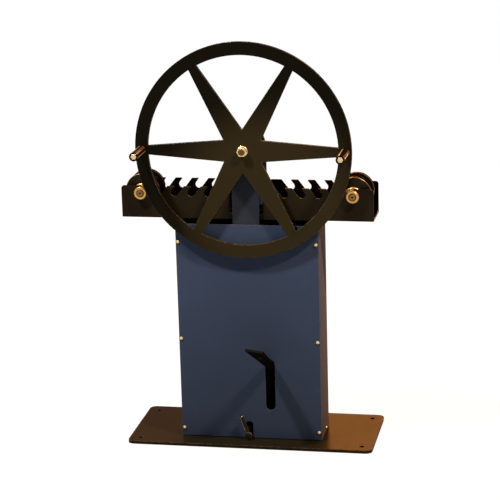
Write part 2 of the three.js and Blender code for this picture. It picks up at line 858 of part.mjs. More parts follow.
function pivotEar(side) {
  const inner = armWidth / 2 + earGap;
  const outer = inner + earThickness;
  const half = earDepth / 2;
  const span = [pedalX + side * inner, pedalX + side * outer].sort((a, b) => a - b);
  const stem = box(...span, pivotY - half, pivotY + half, jackTop - 2, pivotHeight);
  const head = sideways(rod(earDepth, ...span, roundFacets)).translate(0, pivotY, pivotHeight);
  return join(stem, head);
}

function jackTank() {
  const bore = ramDiameter + 2 * runningGap;
  const inner = bore / 2;
  const outer = tankDiameter / 2;
  const shoulder = 8;
  return standing(turned([
    [0, jackTop],
    [outer, jackTop],
    [outer, tankTop - shoulder],
    [outer - shoulder, tankTop],
    [inner, tankTop],
    [inner, ramFoot - seatGap],
    [0, ramFoot - seatGap],
  ], 36)).translate(0, centreY, 0);
}

function pumpBody() {
  return standing(ring(pistonDiameter + 2 * runningGap, pumpDiameter, jackTop, jackTop + pumpHeight))
    .translate(pedalX, pumpY, 0);
}

// The piston's ball head touches the sloping underside of the pedal's arm.
const ballHeight = pivotHeight + pumpForward * Math.tan(radians(armSlope))
  - (armThickness / 2 + pistonHead / 2 + pistonArmGap) / Math.cos(radians(armSlope));

function pumpPiston() {
  const radius = pistonDiameter / 2;
  const head = pistonHead / 2;
  const points = [
    [0, pistonFoot],
    [radius, pistonFoot],
    [radius, ballHeight - pistonHeadHeight],
    [head, ballHeight - pistonHeadHeight],
  ];
  const ballSteps = 6;
  for (let index = 0; index <= ballSteps; index += 1) {
    const angle = Math.PI / 2 * index / ballSteps;
    points.push([index === ballSteps ? 0 : head * Math.cos(angle), ballHeight + head * Math.sin(angle)]);
  }
  return standing(turned(points, smallFacets + 4)).translate(pedalX, pumpY, 0);
}

// Return spring round the piston, between the pump body and the piston's head
function returnSpring() {
  const low = jackTop + pumpHeight + springWire / 2 + seatGap;
  const high = ballHeight - pistonHeadHeight - springWire / 2 - seatGap;
  const radius = (pistonDiameter + pistonHead) / 4;
  const points = [];
  const stepsPerTurn = 8;
  for (let index = 0; index <= springTurns * stepsPerTurn; index += 1) {
    const angle = 2 * Math.PI * index / stepsPerTurn;
    const height = low + (high - low) * index / (springTurns * stepsPerTurn);
    points.push(new THREE.Vector3(radius * Math.cos(angle), radius * Math.sin(angle), height));
  }
  const leastGap = points[0].distanceTo(points[stepsPerTurn]) - springWire;
  console.log(`return spring: ${leastGap.toFixed(2)} mm between turns`);
  const section = new THREE.Shape();
  section.absarc(0, 0, springWire / 2, 0, 2 * Math.PI);
  const wire = new THREE.ExtrudeGeometry(section, {
    steps: points.length - 1,
    curveSegments: 3,
    bevelEnabled: false,
    extrudePath: new THREE.CatmullRomCurve3(points),
  });
  return wire.translate(pedalX, pumpY, 0);
}

// Foot pedal: a flat arm that widens to the left into its tread, on a barrel round the pivot pin.
// The reaches are measured from the front panel, with the pedal up.
function footPedal() {
  const slope = radians(armSlope);
  const along = (horizontal) => horizontal / Math.cos(slope);
  const half = armWidth / 2;
  const outline = new THREE.Shape();
  outline.moveTo(pedalX - half, 0);
  outline.lineTo(pedalX - half, -along(pivotBack + armNeckReach));
  outline.lineTo(pedalX - treadLeft, -along(pivotBack + treadLeftReach));
  outline.lineTo(pedalX + treadRight, -along(pivotBack + treadRightReach));
  outline.lineTo(pedalX + half, -along(pivotBack + armShoulderReach));
  outline.lineTo(pedalX + half, 0);
  outline.holes.push(circlePath(pedalX - pedalHoleLeft, -along(pivotBack + pedalHoleReach), pedalHole / 2));
  const blade = flat(outline, -armThickness / 2, armThickness / 2, 6);
  const barrel = sideways(rod(armBarrel, -half, half)).translate(pedalX, 0, 0);
  const bore = sideways(rod(pivotPin + 2 * runningGap, -half - 1, half + 1)).translate(pedalX, 0, 0);
  return cut(join(blade, barrel), bore).rotateX(-slope).translate(0, pivotY, pivotHeight);
}

function pivotPinBody() {
  const reach = armWidth / 2 + earGap + earThickness + 1.5;
  return sideways(rod(pivotPin, -reach, reach, smallFacets)).translate(pedalX, pivotY, pivotHeight);
}

const spindleFront = panelFront - spindleProud;

function releaseSpindle() {
  const back = centreY - jackBaseDepth / 2 + 16;
  return rod(spindleDiameter, spindleFront, back, smallFacets).translate(valveX, 0, valveHeight);
}

// Release lever: a boss on the spindle and a thin twisted blade that leans to the left
function releaseLever() {
  const bossBack = spindleFront + leverBossLength + 1;
  const bossFront = bossBack - leverBossLength;
  const boss = ring(spindleDiameter + 2 * seatGap, leverBoss, bossFront, bossBack, smallFacets + 4);
  const middle = bossBack - leverBossLength / 2;
  const blade = box(-leverWidth / 2, leverWidth / 2, -leverThickness / 2, leverThickness / 2,
    spindleDiameter / 2 + 2, leverLength);
  blade.rotateZ(radians(leverTwist)).translate(0, middle, 0);
  return join(boss, blade).rotateY(radians(-leverLean)).translate(valveX, 0, valveHeight);
}

function addJack() {
  addPiece('jack_base', jackBase(), jackPaint);
  addPiece('jack_tank', jackTank(), jackPaint);
  addPiece('jack_ram', jackRam(), steel);
  addPiece('pump_body', pumpBody(), jackPaint);
  addPiece('pump_piston', pumpPiston(), steel);
  addPiece('return_spring', returnSpring(), steel);
  addPiece('foot_pedal', footPedal(), blackPaint);
  addPiece('pedal_pivot_pin', pivotPinBody(), steel);
  addPiece('release_spindle', releaseSpindle(), steel);
  addPiece('release_lever', releaseLever(), zinc);
}

addPiece('base_plate', basePlate(), blackPaint);
addPiece('housing_shell', housingShell(), bluePaint);
addPiece('front_panel', frontPanel(), bluePaint);
addHousingScrews();
addPiece('upright_front', uprightBar(centreY - uprightOuter, centreY - uprightInner, true), bluePaint);
addPiece('upright_rear', uprightBar(centreY + uprightInner, centreY + uprightOuter, false), bluePaint);
addPiece('guide_plate', guidePlate(), bluePaint);
addBearings();
addDriveLine();
addGrips();
addCrossbar();
addOuterDies();
addPiece('lift_column', liftColumn(), blackPaint);
addJack();

export default object;
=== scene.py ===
import math

import bmesh
import bpy
from mathutils import Matrix, Vector


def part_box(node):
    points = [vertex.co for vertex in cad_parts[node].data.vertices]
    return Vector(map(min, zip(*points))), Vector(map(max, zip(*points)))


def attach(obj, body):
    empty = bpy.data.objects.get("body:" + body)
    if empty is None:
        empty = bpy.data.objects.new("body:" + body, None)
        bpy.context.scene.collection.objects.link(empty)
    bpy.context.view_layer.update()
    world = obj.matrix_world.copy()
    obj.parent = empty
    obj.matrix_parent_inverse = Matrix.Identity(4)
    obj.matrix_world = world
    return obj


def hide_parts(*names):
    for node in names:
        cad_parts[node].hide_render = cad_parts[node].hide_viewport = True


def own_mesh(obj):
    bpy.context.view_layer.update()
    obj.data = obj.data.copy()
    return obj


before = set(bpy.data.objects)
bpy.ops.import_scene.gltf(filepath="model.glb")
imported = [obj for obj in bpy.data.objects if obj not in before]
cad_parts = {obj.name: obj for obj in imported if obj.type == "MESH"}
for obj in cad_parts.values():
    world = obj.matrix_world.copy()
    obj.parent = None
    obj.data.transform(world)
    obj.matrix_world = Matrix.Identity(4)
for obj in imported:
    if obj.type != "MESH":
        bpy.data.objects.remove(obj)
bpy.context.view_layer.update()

# Camera: stands in front of the machine, a little to its right and above its middle,
# far away with a long lens, and is held very slightly tilted.
AZIMUTH, ELEVATION, ROLL = (math.radians(angle) for angle in (11.35, 15.13, -1.61))
AIM = Vector((-0.0079, 0.0, 0.5480))
DISTANCE = 5.578
turn = (Matrix.Rotation(AZIMUTH, 4, "Z") @ Matrix.Rotation(math.pi / 2 - ELEVATION, 4, "X")
        @ Matrix.Rotation(ROLL, 4, "Z"))
lens = bpy.data.cameras.new("camera")
lens.sensor_width = 36.0
lens.lens = 140.6
camera = bpy.data.objects.new("camera", lens)
camera.matrix_world = Matrix.Translation(AIM + turn @ Vector((0, 0, DISTANCE))) @ turn
bpy.context.scene.collection.objects.link(camera)
bpy.context.scene.camera = camera
bpy.context.scene.view_settings.view_transform = "Standard"


# Lamps: two soft ones high in front, left and right, one high behind, and three warm ones low
# behind, which show as glints on the base plate and the grips.
def soft_lamp(name, place, aim, size, power, colour):
    light = bpy.data.lights.new(name, "AREA")
    light.shape = "SQUARE"
    light.size = size
    light.energy = power
    light.color = colour
    lamp = bpy.data.objects.new(name, light)
    lamp.visible_camera = False
    facing = (Vector(aim) - Vector(place)).to_track_quat("-Z", "Y").to_matrix().to_4x4()
    lamp.matrix_world = Matrix.Translation(place) @ facing
    bpy.context.scene.collection.objects.link(lamp)


HALF_WAY_UP, GRIP_HEIGHT = (0, 0, 0.6), (0, 0, 0.8)
GLINT = (1.0, 0.42, 0.18)
soft_lamp("key_lamp", (-1.63, -1.40, 3.97), HALF_WAY_UP, 0.3, 220, (1.0, 0.90, 0.76))
soft_lamp("fill_lamp", (2.08, -1.41, 3.71), HALF_WAY_UP, 0.3, 167, (1.0, 0.78, 0.52))
soft_lamp("back_lamp", (-1.10, 2.60, 3.40), HALF_WAY_UP, 0.4, 95, (1.0, 0.94, 0.86))
soft_lamp("rear_lamp", (-0.17, 3.1, 1.18), (0.2, 0, 0.1), 0.8, 70, (1.0, 0.34, 0.05))
soft_lamp("rear_glint_left", (0.40, 3.1, 1.78), GRIP_HEIGHT, 0.3, 18, GLINT)
soft_lamp("rear_glint_right", (1.20, 3.1, 0.40), GRIP_HEIGHT, 0.3, 18, GLINT)


# Floor and backdrop: plain and pale. What looks at them sees white, with the machine's soft
# shadow on the floor near it.
class Wire:
    """A value on its way through a finish: sums written on it become maths in the material."""

    def __init__(self, wiring, socket):
        self.wiring = wiring
        self.socket = socket

    def __add__(self, other):
        return self.wiring.maths("ADD", self, other)

    def __sub__(self, other):
        return self.wiring.maths("SUBTRACT", self, other)

    def __rsub__(self, other):
        return self.wiring.maths("SUBTRACT", other, self)

    def __mul__(self, other):
        return self.wiring.maths("MULTIPLY", self, other)

    __radd__ = __add__
    __rmul__ = __mul__

    def stepped(self, low, high):
        """Nothing below low, everything above high and a smooth rise between."""
        return self.wiring.node("ShaderNodeMapRange", {"interpolation_type": "SMOOTHSTEP"},
                                {"Value": self, "From Min": low, "From Max": high})


class Wiring:
    """The nodes of a material or of the backdrop, and the links between them."""

    def __init__(self, owner):
        owner.use_nodes = True
        self.tree = owner.node_tree

    def node(self, kind, settings=None, values=None, output=0):
        node = self.tree.nodes.new(kind)
        for name, setting in (settings or {}).items():
            setattr(node, name, setting)
        for name, value in (values or {}).items():
            self.feed(node.inputs[name], value)
        return Wire(self, node.outputs[output])

    def feed(self, socket, value):
        if isinstance(value, Wire):
            self.tree.links.new(value.socket, socket)
        else:
            socket.default_value = value

    def maths(self, operation, *values):
        return self.node("ShaderNodeMath", {"operation": operation}, dict(enumerate(values)))


class Finish(Wiring):
    """A material on the real piece, built on the place of each point of its surface."""

    def __init__(self, name):
        self.material = bpy.data.materials.new(name)
        super().__init__(self.material)
        self.shader = self.tree.nodes["Principled BSDF"]
        self.place = self.node("ShaderNodeTexCoord", output="Object")

    def dress(self, **values):
        """Sets the shader's own sockets, such as base_color."""
        for name, value in values.items():
            socket_name = name.replace("_", " ").title().replace("Ior", "IOR")
            self.feed(self.shader.inputs[socket_name], value)

    def vectors(self, operation, *values, output="Vector"):
        """Maths on places and directions; the output is Value where it gives a plain number."""
        return self.node("ShaderNodeVectorMath", {"operation": operation},
                         dict(enumerate(values)), output)

    def stretched(self, scale):
        return self.node("ShaderNodeMapping", {}, {"Vector": self.place, "Scale": scale})

    def noise(self, scale, detail=4.0, roughness=0.55, place=None):
        return self.node("ShaderNodeTexNoise", {}, {
            "Vector": place or self.place, "Scale": scale, "Detail": detail,
            "Roughness": roughness})

    def blend(self, amount, first, second):
        """first where amount is nothing and second where it is one; colours in, colour out."""
        first, second = (shade if isinstance(shade, Wire) else (*shade, 1.0)
                         for shade in (first, second))
        return self.node("ShaderNodeMix", {"data_type": "RGBA"},
                         {"Factor": amount, 6: first, 7: second}, output=2)

    def around(self, shade, other, middle, near, far):
        """shade, turning to the other colour round a place: all of it within near, none
        beyond far, with a cloudy border."""
        away = self.vectors("DISTANCE", self.place, middle, output="Value")
        cloudy_away = self.noise(3.2, detail=3.0) * 0.06 + away - 0.03
        return self.blend(cloudy_away.stepped(near, far), other, shade)

    def off_axis(self, middle):
        """The way out to each point from an axis along Y through a place."""
        across = self.vectors("SUBTRACT", self.place, middle)
        return self.vectors("MULTIPLY", across, (1.0, 0.0, 1.0))

    def length(self, vector):
        return self.vectors("LENGTH", vector, output="Value")

    def bump(self, height, strength, distance):
        return self.node("ShaderNodeBump", {}, {
            "Height": height, "Strength": strength, "Distance": distance})


def white_to_the_eye(wiring):
    """One for what the eye, a mirror or glass sees, and nothing for light that bounces."""
    seen = [wiring.node("ShaderNodeLightPath", output=name)
            for name in ("Is Camera Ray", "Is Glossy Ray", "Is Transmission Ray")]
    return wiring.maths("MINIMUM", seen[0] + seen[1] + seen[2], 1.0)


floor_finish = Finish("floor_paper")
floor_finish.tree.nodes.remove(floor_finish.shader)
paper = floor_finish.node("ShaderNodeBsdfDiffuse", {}, {"Color": (0.46, 0.46, 0.45, 1.0)})
glow = floor_finish.node("ShaderNodeEmission", {}, {
    "Color": (1.0, 1.0, 1.0, 1.0), "Strength": 1.12})
GLOW_NEAR, GLOW_FAR = 0.80, 0.90
away = floor_finish.length(floor_finish.place)
glow_share = away.stepped(1.0, 5.0) * (GLOW_FAR - GLOW_NEAR) + GLOW_NEAR
seen_floor = floor_finish.node("ShaderNodeMixShader", {}, {
    0: white_to_the_eye(floor_finish) * glow_share, 1: paper, 2: glow})
floor_finish.feed(floor_finish.tree.nodes["Material Output"].inputs["Surface"], seen_floor)
floor_mesh = bmesh.new()
bmesh.ops.create_grid(floor_mesh, x_segments=1, y_segments=1, size=30.0)
floor_data = bpy.data.meshes.new("floor")
floor_mesh.to_mesh(floor_data)
floor_mesh.free()
floor_data.materials.append(floor_finish.material)
floor = bpy.data.objects.new("floor", floor_data)
bpy.context.scene.collection.objects.link(floor)

world = bpy.data.worlds.new("studio")
bpy.context.scene.world = world
sky = Wiring(world)
SKY_LIGHT = 0.05
backdrop = sky.tree.nodes["Background"]
sky.feed(backdrop.inputs["Color"], (1.0, 1.0, 1.0, 1.0))
sky.feed(backdrop.inputs["Strength"], white_to_the_eye(sky) * (1 - SKY_LIGHT) + SKY_LIGHT)


# Base plate: 9.5 mm hot-rolled steel, sawn and with its corners rounded, four holes drilled for
# floor anchors, and two small tabs welded inside the housing's sides. Brush-painted dark
# brown-black.
def rounded(corners, steps=6):
    """An outline through these corners, each (x, y, radius), with every corner rounded."""
    outline = []
    count = len(corners)
    for index, (x, y, radius) in enumerate(corners):
        corner = Vector((x, y))
        if radius == 0:
            outline.append(corner)
            continue
        before = (Vector(corners[index - 1][:2]) - corner).normalized()
        after = (Vector(corners[(index + 1) % count][:2]) - corner).normalized()
        half = before.angle(after) / 2
        centre = corner + (before + after).normalized() * (radius / math.sin(half))
        start = corner + before * (radius / math.tan(half)) - centre
        sweep = start.angle_signed(corner + after * (radius / math.tan(half)) - centre)
        for step in range(steps + 1):
            outline.append(centre + Matrix.Rotation(-sweep * step / steps, 2) @ start)
    return outline


def round_hole(x, y, radius, steps=40):
    return [Vector((x + radius * math.cos(2 * math.pi * step / steps),
                    y + radius * math.sin(2 * math.pi * step / steps))) for step in range(steps)]


def rectangle(x_low, x_high, y_low, y_high, radius):
    return rounded([(x_low, y_low, radius), (x_high, y_low, radius),
                    (x_high, y_high, radius), (x_low, y_high, radius)])


WELDED = 1e-6
SHARP_EDGE, SMOOTH_BEND = math.radians(32), math.radians(16)


def finished(mesh, name, body, nodes, finish, edge=0.0, rubbed=None):
    """Breaks the sharp edges, rubs the paint on them, makes the object and hangs it on its
    body."""
    bmesh.ops.remove_doubles(mesh, verts=mesh.verts[:], dist=WELDED)
    bmesh.ops.recalc_face_normals(mesh, faces=mesh.faces[:])
    if edge > 0:
        sharp = [e for e in mesh.edges if e.is_manifold and e.calc_face_angle() > SHARP_EDGE]
        broken = bmesh.ops.bevel(mesh, geom=sharp, offset=edge, segments=2, affect="EDGES",
                                 profile=0.5, material=-1, clamp_overlap=True)
        for face in broken["faces"] if rubbed else ():
            face.material_index = 1
    data = bpy.data.meshes.new(name)
    mesh.to_mesh(data)
    mesh.free()
    data.shade_smooth()
    data.set_sharp_from_angle(angle=SMOOTH_BEND)
    for layer in (finish, rubbed) if rubbed else (finish,):
        data.materials.append(layer.material)
    piece = bpy.data.objects.new(name, data)
    bpy.context.scene.collection.objects.link(piece)
    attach(piece, body)
    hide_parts(*nodes)
    return piece


def sheared_plate(outlines, low, high, standing):
    """A flat plate through these outlines, the first its edge and the others its holes.
    It lies between two heights, or stands between two depths with its outline in X and Z."""
    mesh = bmesh.new()
    for outline in outlines:
        corners = [mesh.verts.new((x, y, 0)) for x, y in outline]
        for first, second in zip(corners, corners[1:] + corners[:1]):
            mesh.edges.new((first, second))
    bmesh.ops.triangle_fill(mesh, use_beauty=True, edges=mesh.edges[:])
    sheet = bmesh.ops.extrude_face_region(mesh, geom=mesh.faces[:])
    lifted = [part for part in sheet["geom"] if isinstance(part, bmesh.types.BMVert)]
    bmesh.ops.translate(mesh, verts=lifted, vec=(0, 0, high - low))
    if standing:
        return moved(swung(mesh, math.pi / 2, "X"), (0, high, 0))
    return moved(mesh, (0, 0, low))


def moved(mesh, place):
    bmesh.ops.translate(mesh, verts=mesh.verts[:], vec=place)
    return mesh


def swung(mesh, angle, axis):
    bmesh.ops.rotate(mesh, verts=mesh.verts[:], matrix=Matrix.Rotation(angle, 3, axis))
    return mesh


def block(low, high):
    mesh = bmesh.new()
    bmesh.ops.create_cube(mesh, size=1.0)
    bmesh.ops.scale(mesh, verts=mesh.verts[:], vec=Vector(high) - Vector(low))
    return moved(mesh, (Vector(low) + Vector(high)) / 2)


def added(mesh, other):
    """other's faces put into mesh as well."""
    data = bpy.data.meshes.new("loose")
    other.to_mesh(data)
    other.free()
    mesh.from_mesh(data)
    bpy.data.meshes.remove(data)
    return mesh


def enamel(name, colour, worn, roughness, gloss, dust_and_sheen=0.1, speckle=0.05, recoloured_patch=None):
    """Brushed or sprayed enamel: orange peel, uneven gloss, dull scuffs and a warm film of dust,
    whose orange sheen at grazing angles is also a painted warm reflection. recoloured_patch is
    (colour, middle, near, far): round that place the paint has another colour."""
    paint = Finish(name)
    cloudy = paint.noise(3.2, detail=3.0)
    marks = paint.noise(26.0, detail=8.0, roughness=0.7).stepped(0.60, 0.74)
    drawn_out = paint.stretched((9.0, 9.0, 160.0))
    streaks = paint.noise(1.0, detail=6.0, place=drawn_out).stepped(0.60, 0.80)
    peel = paint.noise(420.0, detail=2.0)
    lighter = [value * (1 + 2.4 * speckle) for value in colour]
    shade = paint.blend(cloudy.stepped(0.35, 0.70), colour, lighter)
    if recoloured_patch:
        shade = paint.around(shade, *recoloured_patch)
    shade = paint.blend(marks * 0.30 + streaks * 0.10, shade, worn)
    paint.dress(
        base_color=shade,
        roughness=(cloudy - 0.5) * 0.10 + marks * 0.12 + streaks * 0.05 + roughness,
        specular_ior_level=0.0,
        coat_weight=(1 - marks * 0.5) * gloss,
        coat_roughness=roughness * 0.8,
        # The warm sheen stands for dust and is also a painted warm reflection.
        sheen_weight=dust_and_sheen,
        sheen_tint=(1.0, 0.58, 0.15, 1.0),
        sheen_roughness=0.45,
        normal=paint.bump(peel * 0.25 + cloudy * 0.8, 0.16, 0.002),
    )
    return paint


def rubbed_paint(name, colour, shine):
    """Paint on a bent or cut edge: rubbed thin, so that brown primer and dull steel show in
    spots."""
    paint = Finish(name)
    spots = paint.noise(90.0, detail=6.0, roughness=0.65).stepped(0.42, 0.62)
    paint.dress(
        base_color=paint.blend(spots, colour, shine),
        roughness=0.42 - spots * 0.08,
        specular_ior_level=0.1,
        normal=paint.bump(spots, 0.08, 0.0006),
    )
    return paint


# The plate is darker round the middle of its front edge, before the housing: painted shade.
brown_black = enamel(
    "brown_black_enamel", (0.0125, 0.0068, 0.0026), worn=(0.042, 0.021, 0.008), roughness=0.34,
    gloss=0.05, dust_and_sheen=0.06, recoloured_patch=((0.007, 0.0065, 0.005), (0.0, -0.14, 0.0), 0.13, 0.27))
brown_edge = rubbed_paint("rubbed_brown_edge", (0.014, 0.010, 0.006), (0.10, 0.05, 0.02))
PLATE, PLATE_HALF_X, PLATE_HALF_Y, PLATE_CORNER = 0.0095, 0.3555, 0.149, 0.019
ANCHOR_X, ANCHOR_Y, ANCHOR_HOLE = 0.3235, 0.117, 0.007
TAB_INSIDE, TAB_OUTSIDE = 0.1977, 0.2017
TAB_FRONT, TAB_BACK, TAB_TOP = -0.025, 0.015, 0.0335
anchors = [round_hole(x, y, ANCHOR_HOLE)
           for x in (-ANCHOR_X, ANCHOR_X) for y in (-ANCHOR_Y, ANCHOR_Y)]
plate_line = rectangle(-PLATE_HALF_X, PLATE_HALF_X, -PLATE_HALF_Y, PLATE_HALF_Y, PLATE_CORNER)
plate = sheared_plate([plate_line, *anchors], 0.0, PLATE, False)
for side in (-1, 1):
    tab_low, tab_high = sorted((side * TAB_INSIDE, side * TAB_OUTSIDE))
    plate = added(plate, block((tab_low, TAB_FRONT, PLATE), (tab_high, TAB_BACK, TAB_TOP)))
finished(plate, "base_plate_painted", "pedestal", ["base_plate"], brown_black,
         0.0008, brown_edge)


# Housing: one 2 mm sheet bent into two sides and a back, with lips turned in at the front, and a
# 1.5 mm front panel screwed on. Both sprayed the same dark blue.
# The blue turns darker towards the bottom of the housing: painted shade.
blue = enamel(
    "blue_enamel", (0.030, 0.048, 0.102), worn=(0.048, 0.070, 0.124), roughness=0.46,
    gloss=0.025, dust_and_sheen=0.15, recoloured_patch=((0.022, 0.035, 0.072), (0.0, -0.09, 0.0), 0.13, 0.53))
blue_edge = rubbed_paint("rubbed_blue_edge", (0.050, 0.060, 0.090), (0.16, 0.13, 0.11))
SIDE, LIP_END, SHEET = 0.204, 0.180, 0.002
BACK, LIP_FRONT, TOP = 0.049, -0.0875, 0.645
bend = [(-LIP_END, LIP_FRONT, 0), (-SIDE, LIP_FRONT, 0.004), (-SIDE, BACK, 0.005),
        (SIDE, BACK, 0.005), (SIDE, LIP_FRONT, 0.004), (LIP_END, LIP_FRONT, 0),
        (LIP_END, LIP_FRONT + SHEET, 0), (SIDE - SHEET, LIP_FRONT + SHEET, 0.002),
        (SIDE - SHEET, BACK - SHEET, 0.003), (SHEET - SIDE, BACK - SHEET, 0.003),
        (SHEET - SIDE, LIP_FRONT + SHEET, 0.002), (-LIP_END, LIP_FRONT + SHEET, 0)]
shell = sheared_plate([rounded(bend)], PLATE, TOP, False)
finished(shell, "housing_shell_painted", "pedestal", ["housing_shell"], blue,
         0.0004, blue_edge)

PANEL_FRONT, PANEL, PANEL_FOOT = -0.089, 0.0015, 0.012
NOTCH_X, NOTCH_HALF, NOTCH_TOP = -0.0055, 0.011, 0.062
PEDAL_X, PEDAL_SLOT_HALF, PEDAL_SLOT_LOW, PEDAL_SLOT_HIGH = 0.0585, 0.014, 0.098, 0.250
NEARLY_ROUND = 0.999
notch_left, notch_right = NOTCH_X - NOTCH_HALF, NOTCH_X + NOTCH_HALF
notch_round = NOTCH_HALF * NEARLY_ROUND
edge_line = rounded([(-SIDE, PANEL_FOOT, 0), (notch_left, PANEL_FOOT, 0),
                     (notch_left, NOTCH_TOP, notch_round), (notch_right, NOTCH_TOP, notch_round),
                     (notch_right, PANEL_FOOT, 0), (SIDE, PANEL_FOOT, 0), (SIDE, TOP, 0),
                     (-SIDE, TOP, 0)], 12)
slot_line = rectangle(PEDAL_X - PEDAL_SLOT_HALF, PEDAL_X + PEDAL_SLOT_HALF, PEDAL_SLOT_LOW,
                      PEDAL_SLOT_HIGH, PEDAL_SLOT_HALF * NEARLY_ROUND)
panel = sheared_plate([edge_line, slot_line], PANEL_FRONT, PANEL_FRONT + PANEL, True)
finished(panel, "front_panel_painted", "pedestal", ["front_panel"], blue,
         0.0004, blue_edge)


# Housing screws: zinc-plated button heads with a hexagon socket, tapped into the housing's lips
# and into the base plate's tabs.
def turned(points, steps=48, axis="Z"):
    """A solid turned on a lathe. The points are (radius, place along the axis), closed."""
    mesh = bmesh.new()
    corners = [mesh.verts.new((radius, 0, along)) for radius, along in points]
    lines = [mesh.edges.new(pair) for pair in zip(corners, corners[1:] + corners[:1])
             if pair[0].co.x > 0 or pair[1].co.x > 0]
    bmesh.ops.spin(mesh, geom=corners + lines, cent=(0, 0, 0), axis=(0, 0, 1),
                   angle=2 * math.pi, steps=steps, use_merge=True)
    bmesh.ops.remove_doubles(mesh, verts=mesh.verts[:], dist=WELDED)
    if axis == "Y":
        swung(mesh, -math.pi / 2, "X")
    if axis == "X":
        swung(mesh, math.pi / 2, "Y")
    return mesh


def plated(name, colour, stain, roughness, recoloured_patch=None):
    """Bright metal: brushed lines round it, darker stains and small dull spots."""
    metal = Finish(name)
    stains = metal.noise(60.0, detail=6.0, roughness=0.65).stepped(0.52, 0.72)
    lines = metal.noise(1.0, detail=4.0, place=metal.stretched((300.0, 1800.0, 300.0)))
    shade = metal.blend(stains * 0.55, colour, stain)
    metal.dress(
        base_color=metal.around(shade, *recoloured_patch) if recoloured_patch else shade,
        metallic=1.0,
        roughness=(lines - 0.5) * 0.18 + stains * 0.16 + roughness,
        normal=metal.bump(lines * 0.5, 0.10, 0.0008),
    )
    return metal


zinc = plated("zinc_plate", (0.72, 0.54, 0.27), (0.26, 0.15, 0.06), 0.28)


def button_screw():
    """A domed head with its socket in front, and the plain shank behind it."""
    return turned([(0.0016, -0.0012), (0.0016, -0.0030), (0.0030, -0.0030), (0.0042, -0.0022),
                   (0.0049, -0.0010), (0.0050, 0.0), (0.0025, 0.0), (0.0025, 0.008),
                   (0.0, 0.008), (0.0, -0.0012)], 30, "Y")


SEATED = 0.0002
for index in range(1, 7):
    low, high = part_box(f"panel_screw_{index}")
    place = ((low[0] + high[0]) / 2, PANEL_FRONT - SEATED, (low[2] + high[2]) / 2)
    finished(moved(button_screw(), place), f"panel_screw_{index}_zinc", "pedestal",
             [f"panel_screw_{index}"], zinc)
for name, side in (("side_screw_left", -1), ("side_screw_right", 1)):
    low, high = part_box(name)
    place = (side * (SIDE + SEATED), (low[1] + high[1]) / 2, (low[2] + high[2]) / 2)
    finished(moved(swung(button_screw(), side * math.pi / 2, "Z"), place), f"{name}_zinc",
             "pedestal", [name], zinc)


# Uprights: two flat bars, 76 x 8 mm, from the base plate up to the shaft, hollowed at their tops
# for the bearing sleeves that are welded in, and joined low down by the guide plate. The front
# one has a window at its foot for the valve. Sprayed blue.
def recoated(name, finish):
    """Gives a part that is shown as the CAD has it its real finish."""
    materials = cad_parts[name].data.materials
    materials.clear()
    materials.append(finish.material)


def depths(name):
    """How far forward and how far back a part reaches."""
    low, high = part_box(name)
    return low[1], high[1]


# The uprights get a darker, greyer copy of the housing's blue: painted shade behind the wheel.
post_blue_painted_shade = enamel("post_blue_enamel", (0.020, 0.026, 0.042), worn=(0.040, 0.050, 0.068),
                   roughness=0.50, gloss=0.06, dust_and_sheen=0.08)
SHAFT_Z, CENTRE_Y = 0.860, -0.020
SADDLE, HALF_BAR, BAR_TOP, SADDLE_STEPS = 0.0303, 0.038, 0.844, 16
rise = math.acos((SHAFT_Z - BAR_TOP) / SADDLE)
saddle_arc = [Vector((SADDLE * math.sin(rise * (1 - 2 * step / SADDLE_STEPS)),
                      SHAFT_Z - SADDLE * math.cos(rise * (1 - 2 * step / SADDLE_STEPS))))
              for step in range(SADDLE_STEPS + 1)]
bar_top = [Vector((HALF_BAR, BAR_TOP)), *saddle_arc, Vector((-HALF_BAR, BAR_TOP))]
WINDOW_HALF, WINDOW_TOP, WINDOW_ROUND = 0.016, 0.075, 0.0158
window_left, window_right = NOTCH_X - WINDOW_HALF, NOTCH_X + WINDOW_HALF
window = rounded([(window_right, PLATE, 0), (window_right, WINDOW_TOP, WINDOW_ROUND),
                  (window_left, WINDOW_TOP, WINDOW_ROUND), (window_left, PLATE, 0)], 10)
feet = Vector((-HALF_BAR, PLATE)), Vector((HALF_BAR, PLATE))
front_bar = [feet[0], *reversed(window), feet[1], *bar_top]
rear_bar = [*feet, *bar_top]
for name, outline in (("upright_front", front_bar), ("upright_rear", rear_bar)):
    bar = sheared_plate([outline], *depths(name), True)
    finished(bar, f"{name}_painted", "pedestal", [name], post_blue_painted_shade, 0.0006,
             blue_edge)
recoated("guide_plate", post_blue_painted_shade)


# Bearings: a turned steel sleeve welded into each saddle and sprayed with it, and a flanged
# bronze bush pressed into the sleeve from its outer end.
def chamfered_ring(bore, outer, chamfer, y_low, y_high):
    return turned([(bore, y_low), (outer - chamfer, y_low), (outer, y_low + chamfer),
                   (outer, y_high - chamfer), (outer - chamfer, y_high), (bore, y_high)], 64, "Y")


bronze = plated("bronze", (0.62, 0.38, 0.16), (0.30, 0.17, 0.07), 0.34)
SLEEVE, SLEEVE_BORE = 0.030, 0.0173
BUSH, BUSH_BORE, FLANGE, FLANGE_THICK = 0.017, 0.0129, 0.021, 0.0025
for end, name in ((-1, "front"), (1, "rear")):
    sleeve = chamfered_ring(SLEEVE_BORE, SLEEVE, 0.0015, *depths(f"bearing_sleeve_{name}"))
    finished(moved(sleeve, (0, 0, SHAFT_Z)), f"bearing_sleeve_{name}_painted", "pedestal",
             [f"bearing_sleeve_{name}"], post_blue_painted_shade)
    inner, outer = sorted(depths(f"bearing_bush_{name}"), key=lambda y: y * end)
    step_y = outer - end * FLANGE_THICK
    bush = turned([(BUSH_BORE, inner), (BUSH, inner), (BUSH, step_y), (FLANGE, step_y),
                   (FLANGE, outer - end * 0.0005), (FLANGE - 0.0005, outer),
                   (BUSH_BORE, outer)], 64, "Y")
    finished(moved(bush, (0, 0, SHAFT_Z)), f"bearing_bush_{name}_bronze", "pedestal",
             [f"bearing_bush_{name}"], bronze)
